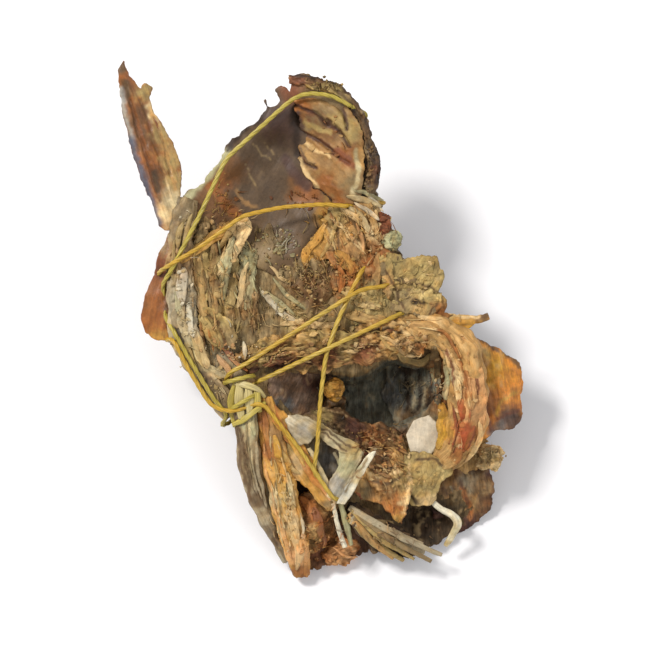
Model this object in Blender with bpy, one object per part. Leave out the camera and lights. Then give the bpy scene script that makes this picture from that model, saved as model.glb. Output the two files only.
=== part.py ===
# A dried cod head, opened out and tied with twine, lying with its opened side up.
#
# Every shape is laid out in millimetres in the head's own frame: a runs to the right,
# b up towards the cut nape, and d straight out of the opened side. Each mesh is then
# tilted towards the front and set down on the table, in metres.

import itertools
import math

import bmesh
import bpy
import numpy as np
from mathutils import Matrix, Vector
from mathutils.bvhtree import BVHTree
from mathutils.geometry import delaunay_2d_cdt

# Driving dimensions, in millimetres and degrees
TILT = 15.0
FACE_CENTRE = (0.1, 0.4, 48.0)
GRID_STEP = 4.0
VOXEL = 1.25
HEAD_TRIANGLES = 7400
RIM_THICK = 2.4
FLAT_WITHIN = 0.6
HULL_GAP = 4.5
TWINE_RADIUS = 1.1
TWINE_GAP = 0.4
TWINE_PRESS = 0.2
TWINE_STEP = 2.5
TWINE_BEND = 0.16
TWINE_CLEAR = 0.3
KNOT_START = (-40.0, -27.0, 4.5)
KNOT_RADIUS = 7.0

# Colours are linear red, green and blue
HEAD_COLOUR = (0.33, 0.19, 0.07)
TWINE_COLOUR = (0.62, 0.44, 0.04)

FACE = (
    Matrix.Scale(0.001, 4)
    @ Matrix.Translation(FACE_CENTRE)
    @ Matrix.Rotation(math.radians(TILT), 4, "X")
)
LATTICE_SIZE = 32
LATTICE = np.random.default_rng(7).random((LATTICE_SIZE,) * 3) * 2 - 1


def clear_scene():
    for obj in list(bpy.data.objects):
        bpy.data.objects.remove(obj)


def material(name, colour, roughness):
    made = bpy.data.materials.new(name)
    made.use_nodes = True
    shader = made.node_tree.nodes["Principled BSDF"]
    shader.inputs["Base Color"].default_value = (*colour, 1)
    shader.inputs["Roughness"].default_value = roughness
    shader.inputs["Metallic"].default_value = 0
    return made


# Shared shape rules
def lumps(points, cell):
    """Smooth noise from -1 to 1 whose lumps are about one cell across."""
    scaled = np.asarray(points, float) / cell
    low = np.floor(scaled).astype(int)
    part = scaled - low
    part = part * part * (3 - 2 * part)
    total = np.zeros(len(scaled))
    for corner in itertools.product((0, 1), repeat=3):
        weight = np.prod(np.where(corner, part, 1 - part), axis=1)
        total += weight * LATTICE[tuple(((low + corner) % LATTICE_SIZE).T)]
    return total


def smoothstep(values):
    held = np.clip(values, 0, 1)
    return held * held * (3 - 2 * held)


def rounded(points, step, closed):
    """Points about one step apart on a smooth curve through the given ones."""
    points = np.asarray(points, float)
    if closed:
        padded = np.vstack([points[-1], points, points[:2]])
    else:
        padded = np.vstack([2 * points[0] - points[1], points, 2 * points[-1] - points[-2]])
    found = []
    for before, start, end, after in zip(padded, padded[1:], padded[2:], padded[3:]):
        count = max(1, round(np.linalg.norm((end - start)[:2]) / step))
        t = (np.arange(count) / count)[:, None]
        slope_in = (end - before) / 2
        slope_out = (after - start) / 2
        found.append(
            (2 * t**3 - 3 * t**2 + 1) * start
            + (t**3 - 2 * t**2 + t) * slope_in
            + (3 * t**2 - 2 * t**3) * end
            + (t**3 - t**2) * slope_out
        )
    if not closed:
        found.append(points[-1:])
    return np.vstack(found)


def ragged(edge, amount, seed):
    """The closed edge with its points pushed in and out, as dried skin tears."""
    ahead = np.roll(edge, -1, axis=0) - np.roll(edge, 1, axis=0)
    outward = np.column_stack([ahead[:, 1], -ahead[:, 0]])
    outward /= np.linalg.norm(outward, axis=1)[:, None]
    spots = np.column_stack([edge, np.full(len(edge), 11.0 * seed)])
    return edge + outward * (amount * lumps(spots, 5.0))[:, None]


def inside(points, edge):
    """Which points lie within the closed edge."""
    found = np.zeros(len(points), bool)
    for (a0, b0), (a1, b1) in zip(edge, np.roll(edge, -1, axis=0)):
        if b0 == b1:
            continue
        crosses = (points[:, 1] > min(b0, b1)) & (points[:, 1] <= max(b0, b1))
        at = a0 + (points[:, 1] - b0) / (b1 - b0) * (a1 - a0)
        found ^= crosses & (points[:, 0] < at)
    return found


def edge_distance(points, edge):
    """How far each point is from the closed edge."""
    nearest = np.full(len(points), 1e9)
    for start, end in zip(edge, np.roll(edge, -1, axis=0)):
        along = end - start
        t = np.clip((points - start) @ along / max(along @ along, 1e-9), 0, 1)
        away = np.linalg.norm(points - start - t[:, None] * along, axis=1)
        nearest = np.minimum(nearest, away)
    return nearest


def blended(spots, points):
    """The value at each point, blended from the spots (a, b, value) that lie nearest."""
    spots = np.asarray(spots, float)
    gap = points[:, None, :] - spots[None, :, :2]
    weight = ((gap**2).sum(axis=2) + 30.0) ** -1.6
    return (weight * spots[:, 2]).sum(axis=1) / weight.sum(axis=1)


def pad(outline, heights, rag=0.0, seed=0):
    """A closed pad within the outline. heights(points, distance) gives its two faces."""
    edge = rounded(outline, GRID_STEP, closed=True)
    if np.cross(edge, np.roll(edge, -1, axis=0)).sum() < 0:
        edge = edge[::-1]
    edge = ragged(edge, rag, seed)
    low, high = edge.min(axis=0), edge.max(axis=0)
    rows = np.arange(low[1], high[1], GRID_STEP * 0.87)
    spread = [
        (a + GRID_STEP / 2 * (i % 2), b)
        for i, b in enumerate(rows)
        for a in np.arange(low[0], high[0], GRID_STEP)
    ]
    spread = np.array(spread)
    spread = spread[inside(spread, edge)]
    spread = spread[edge_distance(spread, edge) > 0.55 * GRID_STEP]
    flat = [Vector(p) for p in np.vstack([edge, spread])]
    made = delaunay_2d_cdt(flat, [], [list(range(len(edge)))], 1, 1e-4)
    points = np.array([tuple(p) for p in made[0]])
    triangles = np.array([f for f in made[2] if len(f) == 3])
    front, back = heights(points, edge_distance(points, edge))
    count = len(points)
    verts = np.vstack([np.column_stack([points, front]), np.column_stack([points, back])])
    ends = np.vstack([triangles[:, [0, 1]], triangles[:, [1, 2]], triangles[:, [2, 0]]])
    both = {tuple(e) for e in ends.tolist()}
    border = [(i, j) for i, j in both if (j, i) not in both]
    faces = triangles.tolist() + (triangles[:, ::-1] + count).tolist()
    faces += [(j, i, i + count, j + count) for i, j in border]
    return verts, faces


def sheet(outline, spots, thick, rag=0.6, seed=0, wave=1.0):
    """A thin wavy pad that follows the height spots, with a rim thinner than its middle."""

    def heights(points, distance):
        middle = blended(spots, points)
        middle = middle + wave * lumps(np.column_stack([points, points[:, :1] * 0 + seed]), 14)
        rim = min(thick, RIM_THICK)
        half = (rim + (thick - rim) * smoothstep(distance / 7)) / 2
        return middle + half, middle - half

    return pad(outline, heights, rag, seed)


def rod(path, flat=1.0, sides=8, bumps=0.0, seed=0):
    """A rod along (a, b, d, radius) points, its section flattened to a share of its width."""
    line = rounded(path, GRID_STEP * 0.7, closed=False)
    centre, radius = line[:, :3], line[:, 3]
    ahead = np.gradient(centre, axis=0)
    ahead /= np.linalg.norm(ahead, axis=1)[:, None]
    side = np.cross(ahead, (0, 0, 1))
    side /= np.linalg.norm(side, axis=1)[:, None] + 1e-9
    up = np.cross(side, ahead)
    verts = []
    for i in range(sides):
        turn = 2 * math.pi * i / sides
        reach = radius * (1 + bumps * lumps(centre + 9 * i + 31 * seed, 6))
        out = math.cos(turn) * side + flat * math.sin(turn) * up
        verts.append(centre + out * reach[:, None])
    rings = len(centre)
    verts = np.vstack([*verts, centre[:1], centre[-1:]])
    first, last = rings * sides, rings * sides + 1
    faces = []
    for i in range(sides):
        here, there = i * rings, (i + 1) % sides * rings
        faces += [(there + k, here + k, here + k + 1, there + k + 1) for k in range(rings - 1)]
        faces += [(first, here, there), (last, there + rings - 1, here + rings - 1)]
    return verts, faces


def clod(centre, radii, bumps=0.2):
    """A rounded lump with an uneven surface."""
    ball = bmesh.new()
    bmesh.ops.create_icosphere(ball, subdivisions=3, radius=1)
    verts = np.array([tuple(v.co) for v in ball.verts])
    faces = [tuple(v.index for v in f.verts) for f in ball.faces]
    ball.free()
    grown = verts * (1 + bumps * lumps(verts * 12 + np.asarray(centre), 9))[:, None]
    return grown * radii + centre, faces


# The parts of the head, from the hull outwards
TRUNK = [
    (-62, 57), (-70, 40), (-73, 22), (-72, 4), (-68, -9), (-60, -24), (-50, -38),
    (-41, -50), (-38, -66), (-33, -82), (-25, -98), (-17, -112), (-8, -118), (3, -115),
    (14, -111), (30, -110), (46, -110), (59, -103), (67, -94), (72, -82), (76, -66),
    (77, -50), (75, -33), (72, -16), (65, -3), (56, 5), (51, 16), (48, 27), (40, 30),
    (33, 40), (28, 50), (24, 60), (2, 66), (-28, 66), (-48, 64),
]  # fmt: skip
TRUNK_FRONT = [
    (-64, 48, 1), (-66, 10, 2), (-50, -26, 3), (-36, -66, -5), (-14, -108, -12),
    (-20, 52, -6), (10, 50, -3), (-38, 26, 2), (-8, 22, 6), (18, 16, 7), (-24, -6, 4),
    (30, 0, 5), (44, 18, 0), (52, 22, -3), (66, -20, -3), (72, -50, -8), (60, -80, -14),
    (18, -64, -6), (-10, -72, -10), (42, -72, -8), (16, -96, -16), (50, -98, -18),
]  # fmt: skip
TRUNK_DEPTH = [
    (-60, 50, 20), (20, 52, 32), (-20, 50, 44), (-10, 20, 58), (28, 16, 56), (-34, 10, 56),
    (0, -20, 50), (40, -30, 42), (-50, -10, 38), (-20, -60, 30), (30, -70, 28), (0, -100, 14),
    (50, -98, 14), (-30, -95, 10),
]  # fmt: skip
MOUTH = [
    (-22, -25), (-12, -22), (2, -23), (18, -24), (26, -18), (34, -16), (42, -20),
    (51, -22), (53, -33), (49, -43), (40, -49), (33, -54), (16, -53), (6, -48),
    (-4, -45), (-14, -46), (-20, -39),
]  # fmt: skip
JAW_GAP = [(41, -88), (52, -88), (60, -93), (60, -101), (53, -104), (44, -101), (39, -95)]
STRUT_GAP = [(-2, -57), (5, -60), (8, -68), (5, -75), (0, -72), (-2, -64)]
FLESH_GAP = [(-17, -74), (-9, -77), (-4, -84), (-12, -84), (-16, -80)]
PITS = ((MOUTH, 31.0), (JAW_GAP, 14.0), (STRUT_GAP, 10.0), (FLESH_GAP, 7.0))
PIT_WALL = 7.0
WALL_THICK = 7.0
HULL_ROUND = 30.0
HULL_SOFT = 5.0
FEET = ((-34, 14), (30, 18), (42, -76), (-14, -88))
FOOT_DROP = 8.0
FOOT_WIDTH = 13.0


def table_height(points, clearance):
    """The d at which a point of the head's frame is this far above the table."""
    tilt = math.radians(TILT)
    return (clearance - FACE_CENTRE[2] - points[:, 1] * math.sin(tilt)) / math.cos(tilt)


def foot_drop(points):
    """How far the hull reaches down at the four bony corners that it lies on."""
    drop = np.zeros(len(points))
    for foot in FEET:
        away = ((points - foot) ** 2).sum(axis=1)
        drop = drop + FOOT_DROP * np.exp(-away / (2 * FOOT_WIDTH**2))
    return drop


def trunk():
    """The skull and gill case: an opened front with pits, and a rounded skin hull behind."""

    def heights(points, distance):
        flat = np.column_stack([points, points[:, 0] * 0])
        middle = blended(TRUNK_FRONT, points) + 1.5 * lumps(flat, 12)
        front = middle - 4 * (1 - smoothstep(distance / 8))
        for outline, deep in PITS:
            edge = rounded(outline, GRID_STEP, closed=True)
            sunk = np.where(inside(points, edge), edge_distance(points, edge), 0)
            front = front - deep * smoothstep(sunk / PIT_WALL)
        bulge = np.sqrt(1 - (1 - np.clip(distance / HULL_ROUND, 0, 1)) ** 2)
        back = middle - WALL_THICK - blended(TRUNK_DEPTH, points) * bulge
        back = back + 2.5 * lumps(flat + 50, 18)
        stop = table_height(points, HULL_GAP - foot_drop(points))
        back = (back + stop + np.sqrt((back - stop) ** 2 + HULL_SOFT**2)) / 2
        back = np.maximum(back, table_height(points, 0))
        return np.maximum(front, back + RIM_THICK), back

    return pad(TRUNK, heights, rag=1.5, seed=1)


def nape_flap():
    outline = [
        (-65, 58), (-54, 69), (-46, 78), (-41, 86), (-32, 93), (-27, 97), (-26, 103),
        (-22, 101), (-17, 104), (-20, 110), (-15, 115), (-10, 115), (-2, 112), (5, 109),
        (11, 106), (15, 100), (19, 93), (22, 84), (26, 76), (26, 65), (24, 58), (24, 46),
        (0, 40), (-30, 42), (-58, 44),
    ]  # fmt: skip
    spots = [
        (-62, 58, 4), (-46, 77, 8), (-26, 97, 11), (-12, 112, 12), (6, 107, 10),
        (20, 90, 8), (25, 68, 4), (-22, 78, -7), (-18, 60, -9), (-5, 94, 0), (8, 70, 0),
        (10, 46, -4), (-30, 46, -6), (-55, 48, 0),
    ]  # fmt: skip
    return sheet(outline, spots, thick=4.5, rag=1.0, seed=2)


def rib_flesh():
    outline = [
        (-14, 103), (0, 105), (11, 101), (17, 92), (20, 80), (22, 68), (21, 57), (6, 56),
        (-5, 62), (-10, 73), (-15, 82), (-11, 92),
    ]  # fmt: skip
    spots = [(-13, 100, 9), (-12, 84, 1), (-4, 66, 1), (10, 58, 4), (20, 70, 8), (16, 94, 11), (2, 84, 5)]
    return sheet(outline, spots, thick=6, rag=0.8, seed=3, wave=1.4)


def dark_rim():
    path = [
        (-16, 113, 12, 2.5), (-8, 114, 12, 3.5), (2, 110, 11, 3.2), (11, 105, 11, 3.4),
        (17, 96, 10, 3.2), (21, 86, 9, 3.5), (24, 77, 8, 4.6), (25, 68, 6, 4.4), (24, 60, 4, 3),
    ]  # fmt: skip
    return rod(path, flat=0.8, bumps=0.5, seed=4)


def pectoral_fin():
    outline = [
        (-94, 122), (-95, 115), (-94, 102), (-91, 90), (-88, 78), (-83, 66), (-80, 55),
        (-76, 44), (-68, 44), (-66, 54), (-68, 66), (-68, 74), (-71, 82), (-75, 90),
        (-79, 97), (-82, 103), (-81, 110), (-86, 111), (-90, 116),
    ]  # fmt: skip
    spots = [(-94, 120, 13), (-92, 100, 11), (-80, 98, 8), (-86, 76, 8), (-70, 76, 5), (-76, 50, 6)]
    return sheet(outline, spots, thick=3.4, rag=0.7, seed=5, wave=0.6)


def collar():
    """The long bone round the gill opening, from the fin down to the twine's knot."""
    path = [
        (-62, 58, 7, 5.5), (-67, 46, 8, 7), (-69, 30, 8, 7.5), (-69, 14, 8, 7.5),
        (-67, -2, 7, 7), (-61, -18, 5, 6.5), (-52, -32, 4, 6), (-43, -44, 3, 5.5),
    ]  # fmt: skip
    return rod(path, flat=0.75, bumps=0.25, seed=6)


def gill_skin():
    outline = [
        (-72, 42), (-78, 31), (-80, 23), (-84, 14), (-86, 4), (-84, -6), (-77, -9),
        (-70, -6), (-68, 10), (-68, 30),
    ]  # fmt: skip
    spots = [(-74, 36, 4), (-82, 14, 1), (-82, -4, -2), (-72, 0, 2)]
    return sheet(outline, spots, thick=4, rag=0.5, seed=7)


def throat_folds():
    """The fibrous folds that run down the opened throat."""
    paths = [
        [(-58, 48, 3, 3), (-58, 26, 4, 6), (-55, 6, 4, 6), (-50, -16, 0, 2)],
        [(-44, 54, 0, 3), (-48, 34, 4, 6), (-47, 14, 4, 6), (-41, -10, 0, 2)],
        [(-32, 54, -2, 3), (-36, 32, 4, 5), (-36, 12, 5, 5), (-30, -12, 1, 2)],
        [(6, 60, -2, 4), (13, 40, 2, 8), (16, 22, 4, 8), (14, 2, 3, 5)],
        [(20, 60, 0, 3), (24, 44, 2, 5), (26, 28, 4, 6), (24, 8, 3, 4)],
        [(-16, 48, -5, 5), (-10, 28, 2, 9), (-6, 10, 4, 9), (-12, -10, 2, 5)],
    ]
    return [rod(path, flat=0.6, bumps=0.6, seed=20 + i) for i, path in enumerate(paths)]


def mouth_lip():
    """The crusted edge of the throat above the open mouth."""
    path = [
        (-40, -20, 4, 6), (-26, -16, 6, 7), (-10, -13, 7, 8), (8, -13, 8, 8),
        (24, -10, 8, 8), (38, -7, 6, 8), (48, -10, 6, 7),
    ]  # fmt: skip
    return rod(path, flat=0.8, bumps=0.6, seed=30)


def gill_arch():
    """The thick fibrous band that closes the mouth on the right."""
    path = [
        (34, -2, 4, 6), (46, -3, 7, 8), (58, -7, 9, 9), (65, -16, 10, 9.5), (68, -30, 9, 9.5),
        (67, -45, 8, 9.5), (63, -58, 6, 9), (55, -68, 3, 8), (46, -75, 0, 6),
    ]  # fmt: skip
    return rod(path, flat=0.7, bumps=0.3, seed=31)


def skin_tab():
    outline = [
        (26, 30), (31, 34), (39, 30), (46, 31), (53, 30), (54, 24), (57, 17), (56, 9),
        (61, 3), (54, -2), (44, -3), (36, 0), (31, 8), (28, 18),
    ]  # fmt: skip
    spots = [(30, 30, 7), (52, 28, 9), (56, 12, 7), (34, 6, 7), (46, 0, 8), (42, 16, 5)]
    return sheet(outline, spots, thick=3.2, rag=0.9, seed=8, wave=1.2)


def spur():
    return rod([(54, 1, 6, 4.2), (64, 0, 6, 4), (71, 1, 7, 2.6), (77, 2.5, 8, 1.6)], flat=0.6)


def cheek_lobe():
    outline = [
        (62, 2), (68, -6), (77, -10), (87, -16), (93, -21), (95, -27), (94, -36),
        (94, -45), (91, -51), (82, -52), (76, -56), (70, -48), (66, -25),
    ]  # fmt: skip
    spots = [(68, -8, -4), (92, -24, -10), (92, -46, -14), (76, -52, -12), (80, -30, -6)]
    return sheet(outline, spots, thick=5, rag=0.6, seed=9)


def jaw_skin():
    outline = [
        (54, -72), (66, -67), (78, -70), (81, -78), (79, -90), (70, -99), (60, -102), (52, -90),
    ]  # fmt: skip
    spots = [(56, -76, -14), (78, -72, -16), (74, -92, -20), (60, -98, -20)]
    return sheet(outline, spots, thick=5, rag=0.8, seed=10)


def lower_lip():
    path = [
        (-8, -50, -4, 4), (6, -55, -3, 5.5), (20, -60, -2, 6.5), (33, -61, -2, 6.5),
        (44, -68, -4, 5),
    ]  # fmt: skip
    return rod(path, flat=0.8, bumps=0.6, seed=32)


def tongue_flap():
    outline = [(17, -66), (28, -61), (42, -61), (46, -70), (41, -84), (36, -95), (30, -88), (22, -78)]
    spots = [(20, -68, 1), (42, -64, 1), (38, -82, 0), (35, -92, -3), (30, -74, 4)]
    return sheet(outline, spots, thick=4.5, rag=0.8, seed=11)


def chin_plate():
    outline = [(38, -61), (48, -62), (58, -66), (59, -75), (53, -80), (54, -87), (45, -88), (39, -78)]
    spots = [(40, -64, 0), (56, -68, 1), (52, -84, -4), (42, -84, -4), (48, -74, 3)]
    return sheet(outline, spots, thick=5, rag=0.6, seed=12)


def chin_loop():
    path = [
        (50, -82, -4, 2.6), (58, -88, -4, 2.4), (64, -95, -5, 2.4), (63, -103, -7, 2.2),
        (56, -108, -10, 2.2),
    ]  # fmt: skip
    return rod(path, flat=0.8)


def tooth_plate():
    outline = [(44, -43), (54, -44), (57, -54), (52, -65), (42, -65), (37, -55)]
    spots = [(44, -45, -9), (56, -52, -7), (46, -64, -5)]
    return sheet(outline, spots, thick=3, rag=0.2, seed=13, wave=0.3)


def mouth_knob():
    return [
        clod((6, -30, -11), (5.5, 6, 5)),
        rod([(7, -35, -15, 4), (5, -42, -22, 5), (3, -48, -24, 6)], bumps=0.4, seed=33),
    ]


def jaw_strut():
    """The pale forked bone below the mouth."""
    fork = [
        (-18, -46, -3, 4), (-8, -48, 0, 5), (4, -53, 1, 5), (13, -60, 2, 5), (13, -69, 2, 4.6),
        (9, -78, 3, 4.2), (6, -86, 2, 3.4),
    ]  # fmt: skip
    prong = [(24, -61, 4, 1.8), (16, -72, 4, 2.2), (8, -84, 4, 2.6)]
    splint = [(-7, -62, 2, 1.6), (-2, -70, 3, 1.6), (3, -78, 3, 1.8)]
    return [rod(fork, flat=0.7, bumps=0.2, seed=34), rod(prong), rod(splint)]


def jaw_plate():
    outline = [
        (-29, -38), (-20, -42), (-10, -56), (-3, -69), (4, -80), (8, -86), (2, -89),
        (-7, -80), (-15, -73), (-22, -64), (-27, -52),
    ]  # fmt: skip
    spots = [(-26, -42, 4), (-12, -60, 2), (4, -84, 1), (-20, -62, 1)]
    return sheet(outline, spots, thick=3.6, rag=0.5, seed=14)


def jaw_shafts():
    """The two long bones of the lower jaw, the grey one on the outside."""
    outer = [
        (-40, -32, 5, 5), (-37, -48, 6, 6), (-35, -66, 4, 6), (-30, -84, 0, 5),
        (-23, -100, -6, 4), (-16, -114, -13, 3),
    ]  # fmt: skip
    inner = [
        (-28, -36, 5, 5), (-26, -54, 6, 6.5), (-22, -74, 4, 7), (-17, -92, 0, 7),
        (-13, -108, -6, 6.5), (-11, -121, -12, 4),
    ]  # fmt: skip
    return [rod(outer, bumps=0.15, seed=35), rod(inner, flat=0.7, bumps=0.2, seed=36)]


def spines():
    return [
        rod([(4, -86, 4, 1.7), (7, -97, 3, 1.9), (10, -108, 1, 1.9)]),
        rod([(8, -86, 2, 1.4), (12, -100, -1, 1.4)]),
    ]


def ray_fan():
    """The gill rays, spread like a fan over a thin web."""
    outline = [
        (11, -86), (22, -88), (37, -98), (50, -104), (53, -112), (40, -115), (24, -106), (14, -97),
    ]  # fmt: skip
    spots = [(14, -90, 0), (34, -100, -5), (50, -108, -10), (28, -106, -8)]
    web = sheet(outline, spots, thick=3.4, rag=0.4, seed=15)
    rays = []
    for i in range(5):
        share = i / 4
        end = (52 - 26 * share, -106 - 3 * math.sin(math.pi * share) - 2 * share, -7)
        middle = (31 - 12 * share, -96 - 4 * share, -1)
        rays.append(rod([(12, -88 - 4 * share, 2, 1.6), (*middle, 1.8), (*end, 1.4)], sides=6))
    return [web, *rays]


def throat_scraps():
    """Torn flesh below the jaw and small tatters on the right edge."""
    return [
        clod((-4, -96, -12), (11, 15, 10)),
        clod((7, -109, -16), (9, 8, 7)),
        clod((28, 46, 3), (4.5, 6, 4)),
        clod((33, 38, 3), (4.5, 5, 4)),
        clod((79, -63, -10), (8, 7, 6)),
    ]


# Fusing, all in millimetres in the head's own frame
def add_object(name, mesh):
    obj = bpy.data.objects.new(name, mesh)
    bpy.context.collection.objects.link(obj)
    return obj


def joined_mesh(name, parts):
    mesh = bpy.data.meshes.new(name)
    verts, faces, count = [], [], 0
    for part_verts, part_faces in parts:
        verts.append(part_verts)
        faces += [tuple(i + count for i in face) for face in part_faces]
        count += len(part_verts)
    mesh.from_pydata(np.vstack(verts).tolist(), [], faces)
    return mesh


def apply_modifiers(obj):
    graph = bpy.context.evaluated_depsgraph_get()
    mesh = bpy.data.meshes.new_from_object(obj.evaluated_get(graph), depsgraph=graph)
    obj.modifiers.clear()
    obj.data = mesh


def keep_largest(mesh):
    """Drops loose scraps and fills sealed hollows by keeping the widest surface alone."""
    shape = bmesh.new()
    shape.from_mesh(mesh)
    left = set(shape.verts)
    groups = []
    while left:
        start = left.pop()
        group, reach = {start}, [start]
        while reach:
            for edge in reach.pop().link_edges:
                for vert in edge.verts:
                    if vert not in group:
                        group.add(vert)
                        reach.append(vert)
        left -= group
        groups.append(group)
    groups.sort(key=len)
    for group in groups[:-1]:
        bmesh.ops.delete(shape, geom=list(group), context="VERTS")
    shape.to_mesh(mesh)
    shape.free()


def settle(mesh):
    """Flattens what lies within a hair of the table or below it."""
    for vert in mesh.vertices:
        floor = table_height(np.array([vert.co[:2]]), 0)[0]
        if vert.co.z < floor + FLAT_WITHIN:
            vert.co.z = floor


def fused_head():
    parts = [
        trunk(), nape_flap(), rib_flesh(), dark_rim(), pectoral_fin(), collar(), gill_skin(),
        mouth_lip(), gill_arch(), skin_tab(), spur(), cheek_lobe(), jaw_skin(), lower_lip(),
        tongue_flap(), chin_plate(), chin_loop(), tooth_plate(), jaw_plate(),
        *throat_folds(), *mouth_knob(), *jaw_strut(), *jaw_shafts(), *spines(), *ray_fan(),
        *throat_scraps(),
    ]  # fmt: skip
    head = add_object("head", joined_mesh("head", parts))
    fuse = head.modifiers.new("Fuse", "REMESH")
    fuse.mode = "VOXEL"
    fuse.voxel_size = VOXEL
    apply_modifiers(head)
    keep_largest(head.data)
    head.data.calc_loop_triangles()
    thin = head.modifiers.new("Facets", "DECIMATE")
    thin.ratio = HEAD_TRIANGLES / len(head.data.loop_triangles)
    thin.use_collapse_triangulate = True
    apply_modifiers(head)
    keep_largest(head.data)
    settle(head.data)
    return head


# The twine, drawn tight in closed turns that press on each other where they cross
def surface_of(mesh):
    mesh.calc_loop_triangles()
    corners = [v.co.copy() for v in mesh.vertices]
    return BVHTree.FromPolygons(corners, [t.vertices[:] for t in mesh.loop_triangles])


def bearing(surfaces, a, b, side):
    """How far out the twine's centre must lie at (a, b) to clear the skin and older turns."""
    found = []
    for away in ((0, 0), (1, 0), (-1, 0), (0, 1), (0, -1)):
        start = Vector((a + away[0] * TWINE_RADIUS, b + away[1] * TWINE_RADIUS, side * 300))
        for surface, gap in surfaces:
            hit = surface.ray_cast(start, Vector((0, 0, -side)))[0]
            if hit:
                found.append(hit.z * side + TWINE_RADIUS + gap)
    return max(found, default=None)


def taut(surfaces, route, side):
    """The run along a route of (a, b) points, bridging every hollow that it crosses."""
    corners = np.array(route, float)
    ends = np.concatenate([[0], np.cumsum(np.linalg.norm(np.diff(corners, axis=0), axis=1))])
    chain = []
    for reach in np.linspace(0, ends[-1], int(ends[-1] / 2) + 2):
        a, b = (np.interp(reach, ends, corners[:, i]) for i in (0, 1))
        height = bearing(surfaces, a, b, side)
        if height is None:
            continue
        while len(chain) > 1:
            (s0, h0), (s1, h1) = chain[-2:]
            if (h1 - h0) * (reach - s0) > (height - h0) * (s1 - s0):
                break
            chain.pop()
        chain.append((reach, height))
    chain = np.array(chain)
    kept = [s for s in ends if chain[0, 0] < s < chain[-1, 0]]
    reach = np.unique(np.concatenate([chain[:, 0], kept]))
    found = [np.interp(reach, ends, corners[:, i]) for i in (0, 1)]
    return np.column_stack([*found, side * np.interp(reach, chain[:, 0], chain[:, 1])])


def eased(loop):
    """The closed loop with its corners rounded and its straight stretches free of points."""
    loop = np.vstack([loop, loop[:1]])
    ends = np.concatenate([[0], np.cumsum(np.linalg.norm(np.diff(loop, axis=0), axis=1))])
    count = int(ends[-1] / TWINE_STEP)
    reach = np.arange(count) * ends[-1] / count
    even = np.column_stack([np.interp(reach, ends, loop[:, i]) for i in range(3)])
    for _ in range(2):
        even = (np.roll(even, 1, axis=0) + 2 * even + np.roll(even, -1, axis=0)) / 4
    ahead = np.roll(even, -1, axis=0) - even
    ahead /= np.linalg.norm(ahead, axis=1)[:, None]
    bend = np.linalg.norm(ahead - np.roll(ahead, 1, axis=0), axis=1)
    kept, turned = [], 0.0
    for point, turn in zip(even, bend):
        turned += turn
        if turned > TWINE_BEND:
            kept.append(point)
            turned = 0.0
    kept = np.array(kept)
    kept[:, 2] = np.maximum(kept[:, 2], table_height(kept, TWINE_RADIUS + TWINE_CLEAR))
    return kept


def tube(name, loop, radius):
    """A closed tube along the loop, as a mesh object."""
    curve = bpy.data.curves.new(name, "CURVE")
    curve.dimensions = "3D"
    curve.bevel_depth = radius
    curve.bevel_resolution = 1
    spline = curve.splines.new("POLY")
    spline.use_cyclic_u = True
    spline.points.add(len(loop) - 1)
    spline.points.foreach_set("co", np.column_stack([loop, np.ones(len(loop))]).ravel())
    bent = add_object(name, curve)
    graph = bpy.context.evaluated_depsgraph_get()
    mesh = bpy.data.meshes.new_from_object(bent.evaluated_get(graph), depsgraph=graph)
    bpy.data.objects.remove(bent)
    return add_object(name, mesh)


def over(*route):
    return "over", route


def under(*route):
    return "under", route


def through(*points):
    return "through", points


TURNS = {
    "nape": [
        over((19, 98), (13, 101), (3, 106), (-8, 107), (-15, 104), (-46, 76), (-58, 50), (-72, 23)),
        through((-76.5, 17, 4), (-74.5, 10, 0), (-75.5, 3, 2)),
        over((-71, -4), (-62, -20), (-51, -38), (-45, -44)),
        through((-49, -50, -3)),
        under((-44, -48), (18, 94)),
        through((23, 97, 7)),
    ],
    "neck": [
        over((24, 56.5), (-38, 49), (-59, 34), (-71, 27)),
        through((-78, 23, 5), (-78, 21, -3)),
        under((-72, 20), (22, 57)),
        through((29.5, 56, -2)),
    ],
    "jaw": [
        over((-71, -8), (-64, -22), (-53, -40), (-44, -43), (-29, -38), (-10, -62), (5, -84.5)),
        through((10.5, -84, 0), (8, -81, -4), (2, -79, -3)),
        over((-5, -72), (-3, -59), (24, 29)),
        through((26, 36, 2), (29, 43, -1), (32, 50, -6)),
        under((28, 46), (-66, -10)),
        through((-75, -9, -2)),
    ],
    "throat": [
        over((-32, -29), (35, 3)),
        through((46, 8, 1), (51, 11, -2), (54, 13, -8), (53, 20, -13), (51, 26, -12), (51, 29, -5)),
        through((44, 25.5, 1), (36, 21, 3)),
        over((27, 16), (-38, -21)),
        through((-44, -24, 8), (-47, -28, 2), (-44, -31, -2), (-36, -32, -3)),
    ],
}


def knot_rings():
    """The rings that wrap the grey jaw bone, all but touching."""
    shaft = np.array((3.0, -16.0, 1.0)) / math.hypot(3, 16, 1)
    across = np.cross(shaft, (0, 0, 1))
    across /= np.linalg.norm(across)
    up = np.cross(across, shaft)
    turn = np.linspace(0, 2 * math.pi, 16, endpoint=False)[:, None]
    circle = KNOT_RADIUS * (np.cos(turn) * across + np.sin(turn) * up)
    return [circle + np.array(KNOT_START) + shaft * TWINE_RADIUS * 1.9 * i for i in range(4)]


def twine_loops(head):
    skin = surface_of(head.data)
    surfaces = [(skin, TWINE_GAP)]
    loops = []
    for name, runs in TURNS.items():
        pieces = []
        for kind, points in runs:
            if kind == "through":
                pieces.append(np.array(points, float))
            else:
                pieces.append(taut(surfaces, points, 1 if kind == "over" else -1))
        loop = eased(np.vstack(pieces))
        laid = tube(name, loop, TWINE_RADIUS)
        surfaces.append((surface_of(laid.data), -TWINE_PRESS))
        bpy.data.objects.remove(laid)
        loops.append(loop)
    return loops + knot_rings()


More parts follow.
